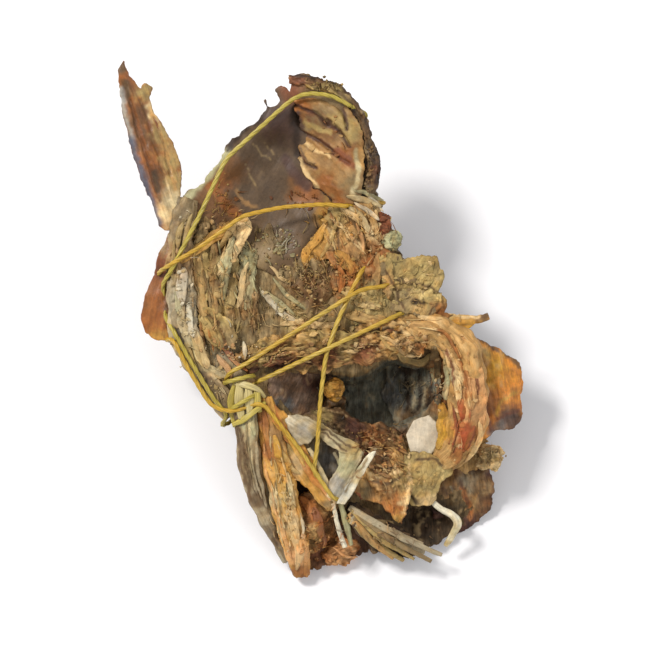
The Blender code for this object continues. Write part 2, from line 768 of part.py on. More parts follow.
def boolean(obj, other, operation):
    """Joins or cuts with the other object, which is then removed."""
    step = obj.modifiers.new(operation.title(), "BOOLEAN")
    step.operation = operation
    step.object = other
    apply_modifiers(obj)
    bpy.data.objects.remove(other)


def tie(head):
    """Lays the twine, and presses its channel into the head with a small gap all round."""
    loops = twine_loops(head)
    twine = tube("twine", loops[0], TWINE_RADIUS)
    for loop in loops[1:]:
        boolean(twine, tube("turn", loop, TWINE_RADIUS), "UNION")
    for loop in loops:
        boolean(head, tube("channel", loop, TWINE_RADIUS + TWINE_GAP), "DIFFERENCE")
    keep_largest(head.data)
    return twine


def finish(obj, made):
    obj.data.transform(FACE)
    obj.data.materials.clear()
    obj.data.materials.append(made)
    obj.data.shade_smooth()
    obj.data.set_sharp_from_angle(angle=math.radians(40))


def main():
    clear_scene()
    head = fused_head()
    twine = tie(head)
    finish(head, material("dried fish", HEAD_COLOUR, 0.6))
    finish(twine, material("twine", TWINE_COLOUR, 0.5))


main()
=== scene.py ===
# %% [markdown]
# # A dried cod head, tied with twine
#
# Stockfish heads are split open, tied and hung in the wind until they are as hard as wood.
# What is left is a landscape of thin skin, bare bones and shrunken flesh, so this script
# builds each of those as a piece of its own and lays them over one another, as a dried
# head really is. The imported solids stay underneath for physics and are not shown.

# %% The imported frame
import itertools
import math
from collections import namedtuple

import bmesh
import bpy
import numpy as np
from mathutils import Matrix, Vector
from mathutils.bvhtree import BVHTree
from mathutils.geometry import delaunay_2d_cdt


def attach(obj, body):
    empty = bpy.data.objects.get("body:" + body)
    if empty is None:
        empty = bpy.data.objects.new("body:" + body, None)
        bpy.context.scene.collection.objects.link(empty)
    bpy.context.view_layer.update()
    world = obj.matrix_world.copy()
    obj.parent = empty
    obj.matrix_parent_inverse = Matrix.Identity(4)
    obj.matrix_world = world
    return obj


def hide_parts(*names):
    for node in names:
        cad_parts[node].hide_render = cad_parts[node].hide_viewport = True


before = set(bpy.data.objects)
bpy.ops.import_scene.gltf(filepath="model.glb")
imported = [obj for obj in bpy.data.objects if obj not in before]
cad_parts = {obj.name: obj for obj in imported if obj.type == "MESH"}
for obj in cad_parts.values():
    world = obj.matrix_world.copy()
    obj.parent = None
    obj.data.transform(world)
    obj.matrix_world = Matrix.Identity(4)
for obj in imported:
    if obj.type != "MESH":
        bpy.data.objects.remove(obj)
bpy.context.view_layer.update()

# %% [markdown]
# ## The head's own frame
# The opened side of the head is tilted 15 degrees towards the front. It is easier to place
# bones on it in its own frame: a to the right, b up to the cut nape and d straight out,
# all in millimetres. One matrix then sets everything down on the table, in metres.

# %% The head's own frame
TILT = 15.0
FACE_CENTRE = (0.1, 0.4, 48.0)
FACE = (
    Matrix.Scale(0.001, 4)
    @ Matrix.Translation(FACE_CENTRE)
    @ Matrix.Rotation(math.radians(TILT), 4, "X")
)


def table_height(points, clearance):
    """The d at which a point of the head's frame is this far above the table."""
    tilt = math.radians(TILT)
    return (clearance - FACE_CENTRE[2] - points[:, 1] * math.sin(tilt)) / math.cos(tilt)


print("the face leans", TILT, "degrees")

# %% [markdown]
# ## Noise
# Nothing dried is smooth or even. One seeded lattice of random numbers gives soft noise of
# any grain size, and the same noise at several sizes on top of each other gives a crumbly
# surface. Because the lattice is seeded, the script makes the same head each time.

# %% Noise
LATTICE_SIZE = 32
LATTICE = np.random.default_rng(7).random((LATTICE_SIZE,) * 3) * 2 - 1
LAYER_SHIFT = 17
LAYER_FADE = 1.7


def lumps(points, cell):
    """Smooth noise from -1 to 1 whose lumps are about one cell across."""
    scaled = np.asarray(points, float) / cell
    low = np.floor(scaled).astype(int)
    part = scaled - low
    part = part * part * (3 - 2 * part)
    total = np.zeros(len(scaled))
    for corner in itertools.product((0, 1), repeat=3):
        weight = np.prod(np.where(corner, part, 1 - part), axis=1)
        total += weight * LATTICE[tuple(((low + corner) % LATTICE_SIZE).T)]
    return total


def crumble(points, cell, layers=3):
    """Noise with finer and finer grain, as on a broken surface."""
    total = np.zeros(len(points))
    for layer in range(layers):
        shifted = np.asarray(points) + LAYER_SHIFT * layer
        total += lumps(shifted, cell / 2**layer) / LAYER_FADE**layer
    return total


def smoothstep(values):
    """From 0 to 1 as the values go from 0 to 1, flat at both ends."""
    held = np.clip(values, 0, 1)
    return held * held * (3 - 2 * held)


print("lattice of", LATTICE.size, "values")

# %% [markdown]
# ## Tones
# The head has no paint, only what dried: cream fat, tan flesh, rusty blood, olive slime,
# grey bone and slate skin. Each tone is one sRGB colour, matched to a real dried head.

# %% Tones


def linear(code):
    """An sRGB hex colour as linear red, green and blue."""
    parts = [int(code[i : i + 2], 16) / 255 for i in (1, 3, 5)]
    return np.array([p / 12.92 if p < 0.04045 else ((p + 0.055) / 1.055) ** 2.4 for p in parts])


# The shadow tone is no colour of the head: it is painted shade, for gaps, holes, crevices and edges.
TONE_CODES = {
    "chalk": "#cdc3aa", "bone": "#b8a67d", "grey bone": "#9a8b6f", "cream": "#cdae7c",
    "tan": "#a9834f", "peach": "#c28f5e", "ochre": "#b0813a", "gold": "#bf8f33", "amber": "#c47f2e",
    "orange": "#ad6a34", "rust": "#855127", "red brown": "#70412a", "blood": "#9a4a28",
    "maroon": "#46291f", "khaki": "#9e8653", "sage": "#9c9670", "olive": "#7d6847",
    "umber": "#55402a", "buff": "#8a6840", "nut": "#664629", "shell": "#b4a68f",
    "shadow": "#2c2018", "membrane": "#524130", "mauve": "#49352e", "slate": "#6a6966",
    "slate light": "#6c695b", "slate brown": "#735c4b", "skin": "#3c2c25", "paper": "#b29a63",
    "fin grey": "#8b877f", "fin blue": "#4f535f", "straw": "#b8a44c", "lemon": "#ab983a",
    "golden": "#bc9228", "film": "#bba96f", "film edge": "#b39f48",
}
TONES = {name: linear(code) for name, code in TONE_CODES.items()}

print(len(TONES), "tones")

# %% [markdown]
# ## Three ways to make a form
# A **sheet** is skin or membrane: a torn outline with a height at a few spots. A **rod** is
# bone or a rolled fold: a thickness along a path. A **clod** is a lump. Each form carries
# `flow`, how far a point is along and across its fibres, because both the relief and the
# colours of dried tissue run in streaks along the fibres, and a tone for each point.

# %% What a form holds
Form = namedtuple("Form", "verts faces flow under tone relief")
BLEND_SOFT = 30.0
BLEND_FALL = 1.6


def form_of(verts, faces, flow, tone, under=None):
    """A form all of one tone, with no relief yet. under marks the points of its back."""
    count = len(verts)
    under = np.zeros(count, bool) if under is None else under
    return Form(verts, faces, flow, under, np.tile(TONES[tone], (count, 1)), np.zeros(count))


def joined(forms):
    """Several forms as one."""
    starts = np.cumsum([0] + [len(f.verts) for f in forms[:-1]])
    parts = [f._replace(faces=f.faces + start) for f, start in zip(forms, starts)]
    return Form(*(np.concatenate(field) for field in zip(*parts)))


def rounded(points, step, closed):
    """Points about one step apart on a smooth curve through the given ones."""
    points = np.asarray(points, float)
    if closed:
        padded = np.vstack([points[-1], points, points[:2]])
    else:
        padded = np.vstack([2 * points[0] - points[1], points, 2 * points[-1] - points[-2]])
    found = []
    for before, start, end, after in zip(padded, padded[1:], padded[2:], padded[3:]):
        count = max(1, round(np.linalg.norm((end - start)[:3]) / step))
        t = (np.arange(count) / count)[:, None]
        found.append(
            (2 * t**3 - 3 * t**2 + 1) * start
            + (t**3 - 2 * t**2 + t) * (end - before) / 2
            + (3 * t**2 - 2 * t**3) * end
            + (t**3 - t**2) * (after - start) / 2
        )
    if not closed:
        found.append(points[-1:])
    return np.vstack(found)


def ragged(edge, amount, seed):
    """The closed edge with its points pushed in and out, as dried skin tears."""
    ahead = np.roll(edge, -1, axis=0) - np.roll(edge, 1, axis=0)
    outward = np.column_stack([ahead[:, 1], -ahead[:, 0]])
    outward /= np.linalg.norm(outward, axis=1)[:, None]
    spots = np.column_stack([edge, np.full(len(edge), 11.0 * seed)])
    push = amount * (lumps(spots, 6.0) + 0.8 * lumps(spots, 2.4) + 0.5 * lumps(spots, 1.1))
    return edge + outward * push[:, None]


def inside(points, edge):
    """Which points lie within the closed edge."""
    found = np.zeros(len(points), bool)
    for (a0, b0), (a1, b1) in zip(edge, np.roll(edge, -1, axis=0)):
        if b0 == b1:
            continue
        crosses = (points[:, 1] > min(b0, b1)) & (points[:, 1] <= max(b0, b1))
        at = a0 + (points[:, 1] - b0) / (b1 - b0) * (a1 - a0)
        found ^= crosses & (points[:, 0] < at)
    return found


def line_distance(points, line):
    """How far each point is from the open line."""
    nearest = np.full(len(points), 1e9)
    for start, end in zip(line[:-1], line[1:]):
        along = end - start
        t = np.clip((points - start) @ along / max(along @ along, 1e-9), 0, 1)
        nearest = np.minimum(nearest, ((points - start - t[:, None] * along) ** 2).sum(axis=1))
    return np.sqrt(nearest)


def edge_distance(points, edge):
    """How far each point is from the closed edge."""
    return line_distance(points, np.vstack([edge, edge[:1]]))


def reach_along(line):
    """How far along the line each of its points is."""
    return np.concatenate([[0], np.cumsum(np.linalg.norm(np.diff(line, axis=0), axis=1))])


def blended(spots, points):
    """The value at each point, blended from the spots (a, b, value) that lie nearest."""
    spots = np.asarray(spots, float)
    gap = points[:, None, :2] - spots[None, :, :2]
    weight = ((gap**2).sum(axis=2) + BLEND_SOFT) ** -BLEND_FALL
    return (weight * spots[:, 2]).sum(axis=1) / weight.sum(axis=1)


print("form fields:", Form._fields)

# %% A pad within an outline
FINE = 1.0
COARSE_EDGE = 4.0
ROW_SHARE = 0.87
BACK_SHIFT = 50.0
RIM_WIDTH = 7.0


def even_edge(outline, step, sharp):
    """The outline with a point every step, its corners kept only where it is sharp."""
    if not sharp:
        return rounded(rounded(outline, COARSE_EDGE, closed=True), step, closed=True)
    corners = np.array(outline, float)
    found = []
    for start, end in zip(corners, np.roll(corners, -1, axis=0)):
        count = max(1, round(np.linalg.norm(end - start) / step))
        found.append(start + (np.arange(count) / count)[:, None] * (end - start))
    return np.vstack(found)


def filled(edge, step):
    """The points and triangles of an even net within a closed edge."""
    low, high = edge.min(axis=0), edge.max(axis=0)
    across = np.arange(low[0], high[0], step)
    rows = [
        np.column_stack([across + step / 2 * (i % 2), 0 * across + b])
        for i, b in enumerate(np.arange(low[1], high[1], step * ROW_SHARE))
    ]
    spread = np.vstack(rows)
    spread = spread[inside(spread, edge)]
    spread = spread[edge_distance(spread, edge) > 0.55 * step]
    flat = [Vector(p) for p in np.vstack([edge, spread])]
    made = delaunay_2d_cdt(flat, [], [list(range(len(edge)))], 1, 1e-4)
    return np.array([tuple(p) for p in made[0]]), np.array([f for f in made[2] if len(f) == 3])


def two_sided(triangles, count):
    """The triangles as a front, once more as a back, and a wall between their borders."""
    ends = np.vstack([triangles[:, [0, 1]], triangles[:, [1, 2]], triangles[:, [2, 0]]])
    both = {tuple(e) for e in ends.tolist()}
    i, j = np.array([(i, j) for i, j in both if (j, i) not in both]).T
    return np.vstack([
        triangles,
        triangles[:, ::-1] + count,
        np.column_stack([j, i, i + count]),
        np.column_stack([j, i + count, j + count]),
    ])


def pad(outline, heights, tone, rag=0.0, seed=0, grain=90.0, step=FINE, sharp=False):
    """A closed pad within the outline. heights(points, distance) gives its two faces."""
    edge = even_edge(outline, step, sharp)
    following = np.roll(edge, -1, axis=0)
    if (edge[:, 0] * following[:, 1] - following[:, 0] * edge[:, 1]).sum() < 0:
        edge = edge[::-1]
    edge = ragged(edge, rag, seed)
    points, triangles = filled(edge, step)
    front, back = heights(points, edge_distance(points, edge))
    verts = np.vstack([np.column_stack([points, front]), np.column_stack([points, back])])
    turn = math.radians(grain)
    along = points @ (math.cos(turn), math.sin(turn))
    over = points @ (-math.sin(turn), math.cos(turn))
    flow = np.column_stack([along, over, 0 * along])
    flow = np.vstack([flow, flow + (0, 0, BACK_SHIFT)])
    count = len(points)
    return form_of(verts, two_sided(triangles, count), flow, tone, np.arange(2 * count) >= count)


def sheet(outline, spots, tone, thick, rag=0.6, seed=0, wave=1.0, grain=90.0, rim=1.0,
          step=FINE, sharp=False):
    """A thin wavy pad that follows the height spots, with a rim thinner than its middle."""

    def heights(points, distance):
        """The front and back of the sheet at each point."""
        flat = np.column_stack([points, points[:, :1] * 0 + seed])
        middle = blended(spots, points) + wave * lumps(flat, 14) + 0.35 * wave * lumps(flat, 4.5)
        half = (rim + (thick - rim) * smoothstep(distance / RIM_WIDTH)) / 2
        return middle + half, middle - half

    return pad(outline, heights, tone, rag, seed, grain, step, sharp)


print("sheets have a point every", FINE, "mm")

# %% Rods and clods
BUMP_LONG = 6
BUMP_ROUND = 1.7
FEWEST_SIDES = 6


def square_to(centre, roll):
    """Two directions square to a line, turned about it by roll degrees."""
    ahead = np.gradient(centre, axis=0)
    ahead /= np.linalg.norm(ahead, axis=1)[:, None] + 1e-9
    side = np.cross(ahead, (0, 0, 1))
    side /= np.linalg.norm(side, axis=1)[:, None] + 1e-9
    up = np.cross(side, ahead)
    lean = math.radians(roll)
    return (math.cos(lean) * side + math.sin(lean) * up,
            math.cos(lean) * up - math.sin(lean) * side)


def rod_faces(rings, sides):
    """The triangles round a rod and over its two ends."""
    ring = np.arange(rings - 1)
    first, last = rings * sides, rings * sides + 1
    faces = []
    for i in range(sides):
        here, there = i * rings, (i + 1) % sides * rings
        faces.append(np.column_stack([there + ring, here + ring, here + ring + 1]))
        faces.append(np.column_stack([there + ring, here + ring + 1, there + ring + 1]))
        faces.append(np.array([(first, here, there), (last, there + rings - 1, here + rings - 1)]))
    return np.vstack(faces)


def rod(path, tone, flat=1.0, bumps=0.0, roll=0.0, seed=0, step=FINE):
    """A rod along (a, b, d, radius) points, flattened to a share of its width and rolled."""
    line = rounded(path, step, closed=False)
    centre, radius = line[:, :3], line[:, 3]
    side, up = square_to(centre, roll)
    along = reach_along(centre)
    zero = 0 * along
    sides = max(FEWEST_SIDES, round(2 * math.pi * radius.max() / step))
    verts, flow = [], []
    for i in range(sides):
        turn = 2 * math.pi * i / sides
        spot = np.column_stack([along / BUMP_LONG, zero + BUMP_ROUND * math.cos(turn) + 31 * seed,
                                zero + BUMP_ROUND * math.sin(turn)])
        reach = radius * (1 + bumps * lumps(spot, 1.0))
        out = math.cos(turn) * side + flat * math.sin(turn) * up
        verts.append(centre + out * reach[:, None])
        around = np.abs(turn - math.pi) * radius.max()
        flow.append(np.column_stack([along, zero + around, zero + 9 * seed]))
    verts = np.vstack([*verts, centre[:1], centre[-1:]])
    flow = np.vstack([*flow, flow[0][:1], flow[0][-1:]])
    return form_of(verts, rod_faces(len(centre), sides), flow, tone)


def ball(detail):
    """The corners and triangles of a ball of radius 1."""
    made = bmesh.new()
    bmesh.ops.create_icosphere(made, subdivisions=detail, radius=1)
    verts = np.array([tuple(v.co) for v in made.verts])
    faces = np.array([tuple(v.index for v in f.verts) for f in made.faces])
    made.free()
    return verts, faces


SMALL_BALL, LARGE_BALL = ball(1), ball(5)


def clod(centre, radii, tone, bumps=0.2):
    """A rounded lump with an uneven surface."""
    verts, faces = LARGE_BALL
    rough = crumble(verts * 12 + np.asarray(centre), 9)
    placed = verts * (1 + bumps * rough)[:, None] * radii + centre
    return form_of(placed, faces, placed.copy(), tone)


print("a rod has", FEWEST_SIDES, "sides or more, by its girth")

# %% [markdown]
# ## Relief
# Drying pulls flesh in between its fibres, so its surface is grooved along them and gritty
# in between. The relief is real geometry: each point moves along its normal. Where that
# leaves grooves and ridges is kept as an attribute too. Dirt gathers in the grooves, and the
# materials add painted shade to them; the ridges dry out pale and get a painted highlight
# on top, and the edges of lifted flakes get painted shade.

# %% Relief
FULL_RELIEF = 0.7
FLAKE_START = 0.1
FLAKE_EDGE = 0.16
FIBRE_BEND = 1.2
GROOVE_WANDER = 0.7
GROOVE_SHADE = 0.9
ROUTE_STEP = 2.0


def normals_of(form):
    """The direction straight out of the form at each of its points."""
    corners = form.verts[form.faces]
    area = np.cross(corners[:, 1] - corners[:, 0], corners[:, 2] - corners[:, 0])
    total = np.zeros_like(form.verts)
    for i in range(3):
        np.add.at(total, form.faces[:, i], area)
    return total / (np.linalg.norm(total, axis=1)[:, None] + 1e-12)


def roughened(form, deep, fibre=(12.0, 1.6), grit=3.0, share=0.5, flake=0.0, seed=0):
    """The form with grooves along its fibres, grit between them and flakes on top."""
    sway = np.column_stack([lumps(form.verts + 5 * i, 9) for i in range(3)])
    bent = form.flow + FIBRE_BEND * sway
    streak = lumps(bent / (fibre[0], fibre[1], 1.0) + seed, 1.0)
    streak = streak + 0.5 * lumps(bent / (fibre[0] / 2, fibre[1] / 2, 1.0) + seed + 7, 1.0)
    height = share * streak + (1 - share) * crumble(form.verts + 3 * seed, grit)
    torn = crumble(bent / (2.0, 1.0, 1.0) + 60 + seed, 5)
    layer = smoothstep((torn - FLAKE_START) / FLAKE_EDGE)
    moved = form.verts + normals_of(form) * (deep * height + flake * (layer - 0.5))[:, None]
    edge = 1 - np.abs(2 * layer - 1)
    # The relief attribute dips along the edges of lifted flakes: painted shade there.
    shaded = min(1.0, deep / FULL_RELIEF) * height + 0.5 * flake * (layer - 0.5) - flake * edge
    return form._replace(verts=moved, relief=shaded)


def carved(form, deep, width, *routes):
    """The form with a groove along each route of (a, b) points."""
    wander = np.column_stack([lumps(form.verts + 40 * i, 4) for i in (1, 2)])
    spots = form.verts[:, :2] + GROOVE_WANDER * wander
    cut = np.zeros(len(spots))
    for route in routes:
        away = line_distance(spots, rounded(route, ROUTE_STEP, closed=False))
        cut = np.maximum(cut, smoothstep(1 - away / width))
    moved = form.verts - normals_of(form) * (deep * cut)[:, None]
    # The groove is also darkened through the relief attribute: painted shade.
    return form._replace(verts=moved, relief=form.relief - GROOVE_SHADE * cut)


print("relief is geometry, and an attribute for the paint")

# %% [markdown]
# ## Painting
# A piece has a base tone. Patches and strokes of other tones go over it, and their borders
# wander with the noise, as stains do, so that no circle and no ruler line shows. Not all are
# stains: those in the shadow tone and a few dark strokes along edges are painted shade, and a
# few pale strokes are painted highlight.

# %% Painting
BASE_WEIGHT = 0.25
PATCH_WEIGHT = 3
PATCH_FALL = 1.6
PATCH_WANDER = 2.4
STROKE_WANDER = 0.8
STROKE_SOFT = 1.4
STROKE_STRENGTH = 0.9


def painted(form, patches=(), strokes=(), under=None):
    """The form with patches (a, b, radius, tone) and strokes (tone, width, route) over it."""
    wander = np.column_stack([
        lumps(form.verts + 40 * i, 7) + lumps(form.verts + 40 * i, 2.2) for i in (1, 2)
    ])
    spots = form.verts[:, :2] + PATCH_WANDER * wander
    total = form.tone * BASE_WEIGHT
    weight = np.full(len(spots), BASE_WEIGHT)
    for a, b, radius, tone in patches:
        away = ((spots - (a, b)) ** 2).sum(axis=1)
        share = PATCH_WEIGHT * np.exp(-away / radius**2 * PATCH_FALL)
        total += share[:, None] * TONES[tone]
        weight += share
    colour = total / weight[:, None]
    spots = form.verts[:, :2] + STROKE_WANDER * wander
    for tone, width, route in strokes:
        away = line_distance(spots, rounded(route, ROUTE_STEP, closed=False))
        share = smoothstep(STROKE_SOFT - STROKE_SOFT * away / width)
        colour += share[:, None] * STROKE_STRENGTH * (TONES[tone] - colour)
    if under:
        colour[form.under] = TONES[under]
    return form._replace(tone=colour)


print("patches and strokes are placed in millimetres")

# %% [markdown]
# ## Materials
# All of this is one family of stuff, dried animal tissue, so one recipe serves: the tone of
# the point, streaks along the fibre, grit between the fibres, grooves darkened with dirt and
# painted shade, pale ridges with a painted highlight, and flecks of another tone. What sets
# skin, flesh and bone apart is how strong each of these is, how fine the fibre is and how
# much the surface shines. In a Map Range node, inputs 1 and 2 are the range that comes in,
# and inputs 3 and 4 are the range that goes out.

# %% A helper for nodes


def add(tree, kind, settings=None, links=None):
    """One node, with its settings (a property, or an input by name or number) and links."""
    node = tree.nodes.new(kind)
    for key, value in (settings or {}).items():
        if isinstance(key, int) or key in node.inputs:
            node.inputs[key].default_value = value
        else:
            setattr(node, key, value)
    for key, source in (links or {}).items():
        tree.links.new(source, node.inputs[key])
    return node


def new_material(name):
    """A material with its node tree and its shader."""
    made = bpy.data.materials.new(name)
    made.use_nodes = True
    return made, made.node_tree, made.node_tree.nodes["Principled BSDF"]


print("one helper adds every node")

# %% The patterns in dried tissue
# Sizes in millimetres: grit of 1.7, warm and cool casts of 4.5 and blotches of 7.
GRIT_SIZE = 5 / 3
CAST_SIZE = 50 / 11
BLOTCH_SIZE = 50 / 7
METRE = 1000.0
Patterns = namedtuple("Patterns", "stretch place streak grit blotch crack relief")


def tissue_patterns(tree, fibre):
    """Streaks and cracks that follow the fibres, grit and blotches that don't, and the relief."""
    relief = add(tree, "ShaderNodeAttribute", {"attribute_name": "Relief"})
    flow = add(tree, "ShaderNodeAttribute", {"attribute_name": "Flow"})
    place = add(tree, "ShaderNodeTexCoord")
    stretch = add(tree, "ShaderNodeMapping", {"Scale": (1 / fibre[0], 1 / fibre[1], 1)},
                  {"Vector": flow.outputs["Vector"]})
    streak = add(tree, "ShaderNodeTexNoise",
                 {"Scale": 1.0, "Detail": 5.0, "Roughness": 0.66, "Distortion": 0.4},
                 {"Vector": stretch.outputs[0]})
    grit = add(tree, "ShaderNodeTexNoise",
               {"Scale": METRE / GRIT_SIZE, "Detail": 5.0, "Roughness": 0.72},
               {"Vector": place.outputs["Object"]})
    blotch = add(tree, "ShaderNodeTexNoise", {"Scale": METRE / BLOTCH_SIZE, "Detail": 4.0},
                 {"Vector": place.outputs["Object"]})
    bent = add(tree, "ShaderNodeVectorMath", {"operation": "MULTIPLY_ADD", 1: (0.9, 0.9, 0.9)},
               {0: streak.outputs["Color"], 2: stretch.outputs[0]})
    crack = add(tree, "ShaderNodeTexVoronoi", {"feature": "DISTANCE_TO_EDGE", "Scale": 0.8},
                {"Vector": bent.outputs[0]})
    return Patterns(stretch, place, streak, grit, blotch, crack, relief)


print("patterns:", Patterns._fields)

# %% The recipe for dried tissue
BRIGHT = 1.26
WARM = (1.12, 0.92, 0.66, 1)
COOL = (0.88, 0.98, 1.02, 1)


def tissue_light(tree, found, streaks, grooves, cracks, flecks):
    """How light each spot is: dark in cracks and, as painted shade, in grooves; pale along fibres and, as a
    painted highlight, on ridges.
    """
    light = add(tree, "ShaderNodeMapRange", {1: 0.0, 2: 0.1, 3: BRIGHT * (1 - cracks), 4: BRIGHT},
                {0: found.crack.outputs["Distance"]}).outputs[0]
    for source, low, high, dark, pale in (
        (found.streak, 0.3, 0.7, 1 - streaks, 1 + streaks),
        (found.grit, 0.25, 0.75, 0.76, 1.24),
        (found.blotch, 0.3, 0.7, 1 - 0.4 * flecks, 1 + 0.4 * flecks),
        # Relief: painted shade in the grooves, a painted highlight on the ridges.
        (found.relief, -0.8, 0.5, 1 - grooves, 1.2),
    ):
        share = add(tree, "ShaderNodeMapRange", {1: low, 2: high, 3: dark, 4: pale},
                    {0: source.outputs["Fac"]})
        light = add(tree, "ShaderNodeMath", {"operation": "MULTIPLY"},
                    {0: light, 1: share.outputs[0]}).outputs[0]
    return light


def tissue_colour(tree, found, light, fleck, flecks):
    """The point's own tone in that light, with warm and cool casts, flecks and a cream painted highlight on
    the ridges.
    """
    tint = add(tree, "ShaderNodeAttribute", {"attribute_name": "Tint"})
    colour = add(tree, "ShaderNodeVectorMath", {"operation": "SCALE"},
                 {0: tint.outputs["Color"], "Scale": light}).outputs[0]
    for shift, cast, amount in ((0.0, WARM, 1.7 * flecks), (5.0, COOL, 1.4 * flecks)):
        spots = add(tree, "ShaderNodeTexNoise",
                    {"noise_dimensions": "4D", "Scale": METRE / CAST_SIZE, "Detail": 4.0, "W": shift},
                    {"Vector": found.place.outputs["Object"]})
        share = add(tree, "ShaderNodeMapRange", {1: 0.46, 2: 0.66, 3: 0.0, 4: amount},
                    {0: spots.outputs["Fac"]})
        colour = add(tree, "ShaderNodeMix", {"data_type": "RGBA", "blend_type": "MULTIPLY", 7: cast},
                     {0: share.outputs[0], 6: colour}).outputs[2]
    spots = add(tree, "ShaderNodeTexNoise",
                {"noise_dimensions": "4D", "Scale": 0.8, "Detail": 4.0, "W": 3.0},
                {"Vector": found.stretch.outputs[0]})
    for source, low, high, amount, tone in (
        (spots, 0.56, 0.64, flecks, fleck),
        # The ridges are drawn towards cream: a painted highlight.
        (found.relief, 0.3, 1.0, 0.45, "cream"),
    ):
        share = add(tree, "ShaderNodeMapRange", {1: low, 2: high, 3: 0.0, 4: amount},
                    {0: source.outputs["Fac"]})
        colour = add(tree, "ShaderNodeMix", {"data_type": "RGBA", 7: (*TONES[tone], 1)},
                     {0: share.outputs[0], 6: colour}).outputs[2]
    return colour


def dried_tissue(name, fibre, streaks, grooves, cracks, fleck, flecks, rough, shine, bump):
    """Dried tissue. fibre is a fibre's length and width in mm; the rest are strengths."""
    made, tree, shader = new_material(name)
    found = tissue_patterns(tree, fibre)
    light = tissue_light(tree, found, streaks, grooves, cracks, flecks)
    colour = tissue_colour(tree, found, light, fleck, flecks)
    gloss = add(tree, "ShaderNodeMapRange", {1: 0.3, 2: 0.7, 3: rough + 0.14, 4: rough - 0.14},
                {0: found.streak.outputs["Fac"]})
    low_bump = add(tree, "ShaderNodeBump", {"Strength": bump, "Distance": 0.0008},
                   {"Height": found.streak.outputs["Fac"]})
    high_bump = add(tree, "ShaderNodeBump", {"Strength": bump, "Distance": 0.0006},
                    {"Height": found.grit.outputs["Fac"], "Normal": low_bump.outputs[0]})
    tree.links.new(colour, shader.inputs["Base Color"])
    tree.links.new(gloss.outputs[0], shader.inputs["Roughness"])
    tree.links.new(high_bump.outputs[0], shader.inputs["Normal"])
    shader.inputs["IOR"].default_value = 1.45
    shader.inputs["Specular IOR Level"].default_value = shine
    return made


print("the recipe for dried tissue is ready")

# %% The materials of the head
# Thin gut lining, dried smooth and glossy as parchment: few streaks, soft shine.
gut_membrane = dried_tissue("gut membrane", (9, 1.6), 0.09, 0.25, 0.04, "olive", 0.08, 0.5, 0.35, 0.2)
# Muscle in curved blocks, dried hard as wood: strong streaks and rusty seams.
dried_muscle = dried_tissue("dried muscle", (11, 1.2), 0.26, 0.45, 0.3, "rust", 0.5, 0.58, 0.3, 0.45)
# Muscle of the belly wall, smooth in its blocks: broad fibre, faint streaks.
rib_muscle = dried_tissue("rib muscle", (16, 3.2), 0.13, 0.4, 0.08, "rust", 0.3, 0.55, 0.3, 0.3)
# Gullet and gill skin, dried to soft folds: broad fibre, some cracks, matt.
gullet_skin = dried_tissue("gullet skin", (8, 1.6), 0.22, 0.45, 0.2, "nut", 0.32, 0.6, 0.25, 0.5)
# Loose throat tissue, shrunk to a brown crumb with pale fibres.
throat_tissue = dried_tissue("throat tissue", (7, 1.1), 0.26, 0.5, 0.32, "umber", 0.45, 0.66, 0.22, 0.6)
# Bare bone with a skin of gristle: fine lengthwise grain and a dull polish.
bare_bone = dried_tissue("bare bone", (16, 0.9), 0.15, 0.4, 0.12, "olive", 0.3, 0.5, 0.35, 0.35)
# Outer skin without scales: leathery, wrinkled and dark, with painted shade that makes it nearly black where
# it folds.
outer_skin = dried_tissue("outer skin", (8, 2.4), 0.28, 0.5, 0.3, "maroon", 0.55, 0.5, 0.35, 0.6)
# Papery skin at torn edges: thin, pale and spotted.
paper_skin = dried_tissue("paper skin", (5, 2.4), 0.18, 0.42, 0.3, "umber", 0.35, 0.6, 0.25, 0.45)
# Fatty skin that has turned to amber: warm and a little glossy.
amber_skin = dried_tissue("amber skin", (12, 1.6), 0.22, 0.4, 0.15, "red brown", 0.4, 0.4, 0.45, 0.4)
print(len(bpy.data.materials), "materials")

# %% A piece of the head
shown = []
OFF_THE_TABLE = 0.0001


def piece(name, form, material, hull=None, node="head"):
    """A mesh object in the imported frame, with its tones, relief and flow as attributes."""
    count = len(form.verts)
    turned = np.array(FACE)
    world = form.verts @ turned[:3, :3].T + turned[:3, 3]
    world[:, 2] = np.maximum(world[:, 2], OFF_THE_TABLE)
    mesh = bpy.data.meshes.new(name)
    mesh.from_pydata(world.tolist(), [], form.faces.tolist())
    mesh.attributes.new("Tint", "FLOAT_COLOR", "POINT").data.foreach_set(
        "color", np.column_stack([form.tone, np.ones(count)]).astype(np.float32).ravel())
    mesh.attributes.new("Relief", "FLOAT", "POINT").data.foreach_set(
        "value", form.relief.astype(np.float32))
    mesh.attributes.new("Flow", "FLOAT_VECTOR", "POINT").data.foreach_set(
        "vector", form.flow.astype(np.float32).ravel())
    mesh.materials.append(material)
    if hull:
        mesh.materials.append(hull)
        behind = form.under[form.faces].any(axis=1)
        mesh.polygons.foreach_set("material_index", behind.astype(np.int32))
    mesh.shade_smooth()
    obj = bpy.data.objects.new(name, mesh)
    bpy.context.collection.objects.link(obj)
    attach(obj, "root")
    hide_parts(node)
    shown.append(form)
    print(f"{name}: {len(form.faces)} triangles")
    return obj


print("pieces carry Tint, Relief and Flow")

# %% [markdown]
# ## The skull and gill case
# Everything lies on one bowl: the skull seen from its open side, with the mouth sunk deep
# into it, and dark skin round its outside down to the table.

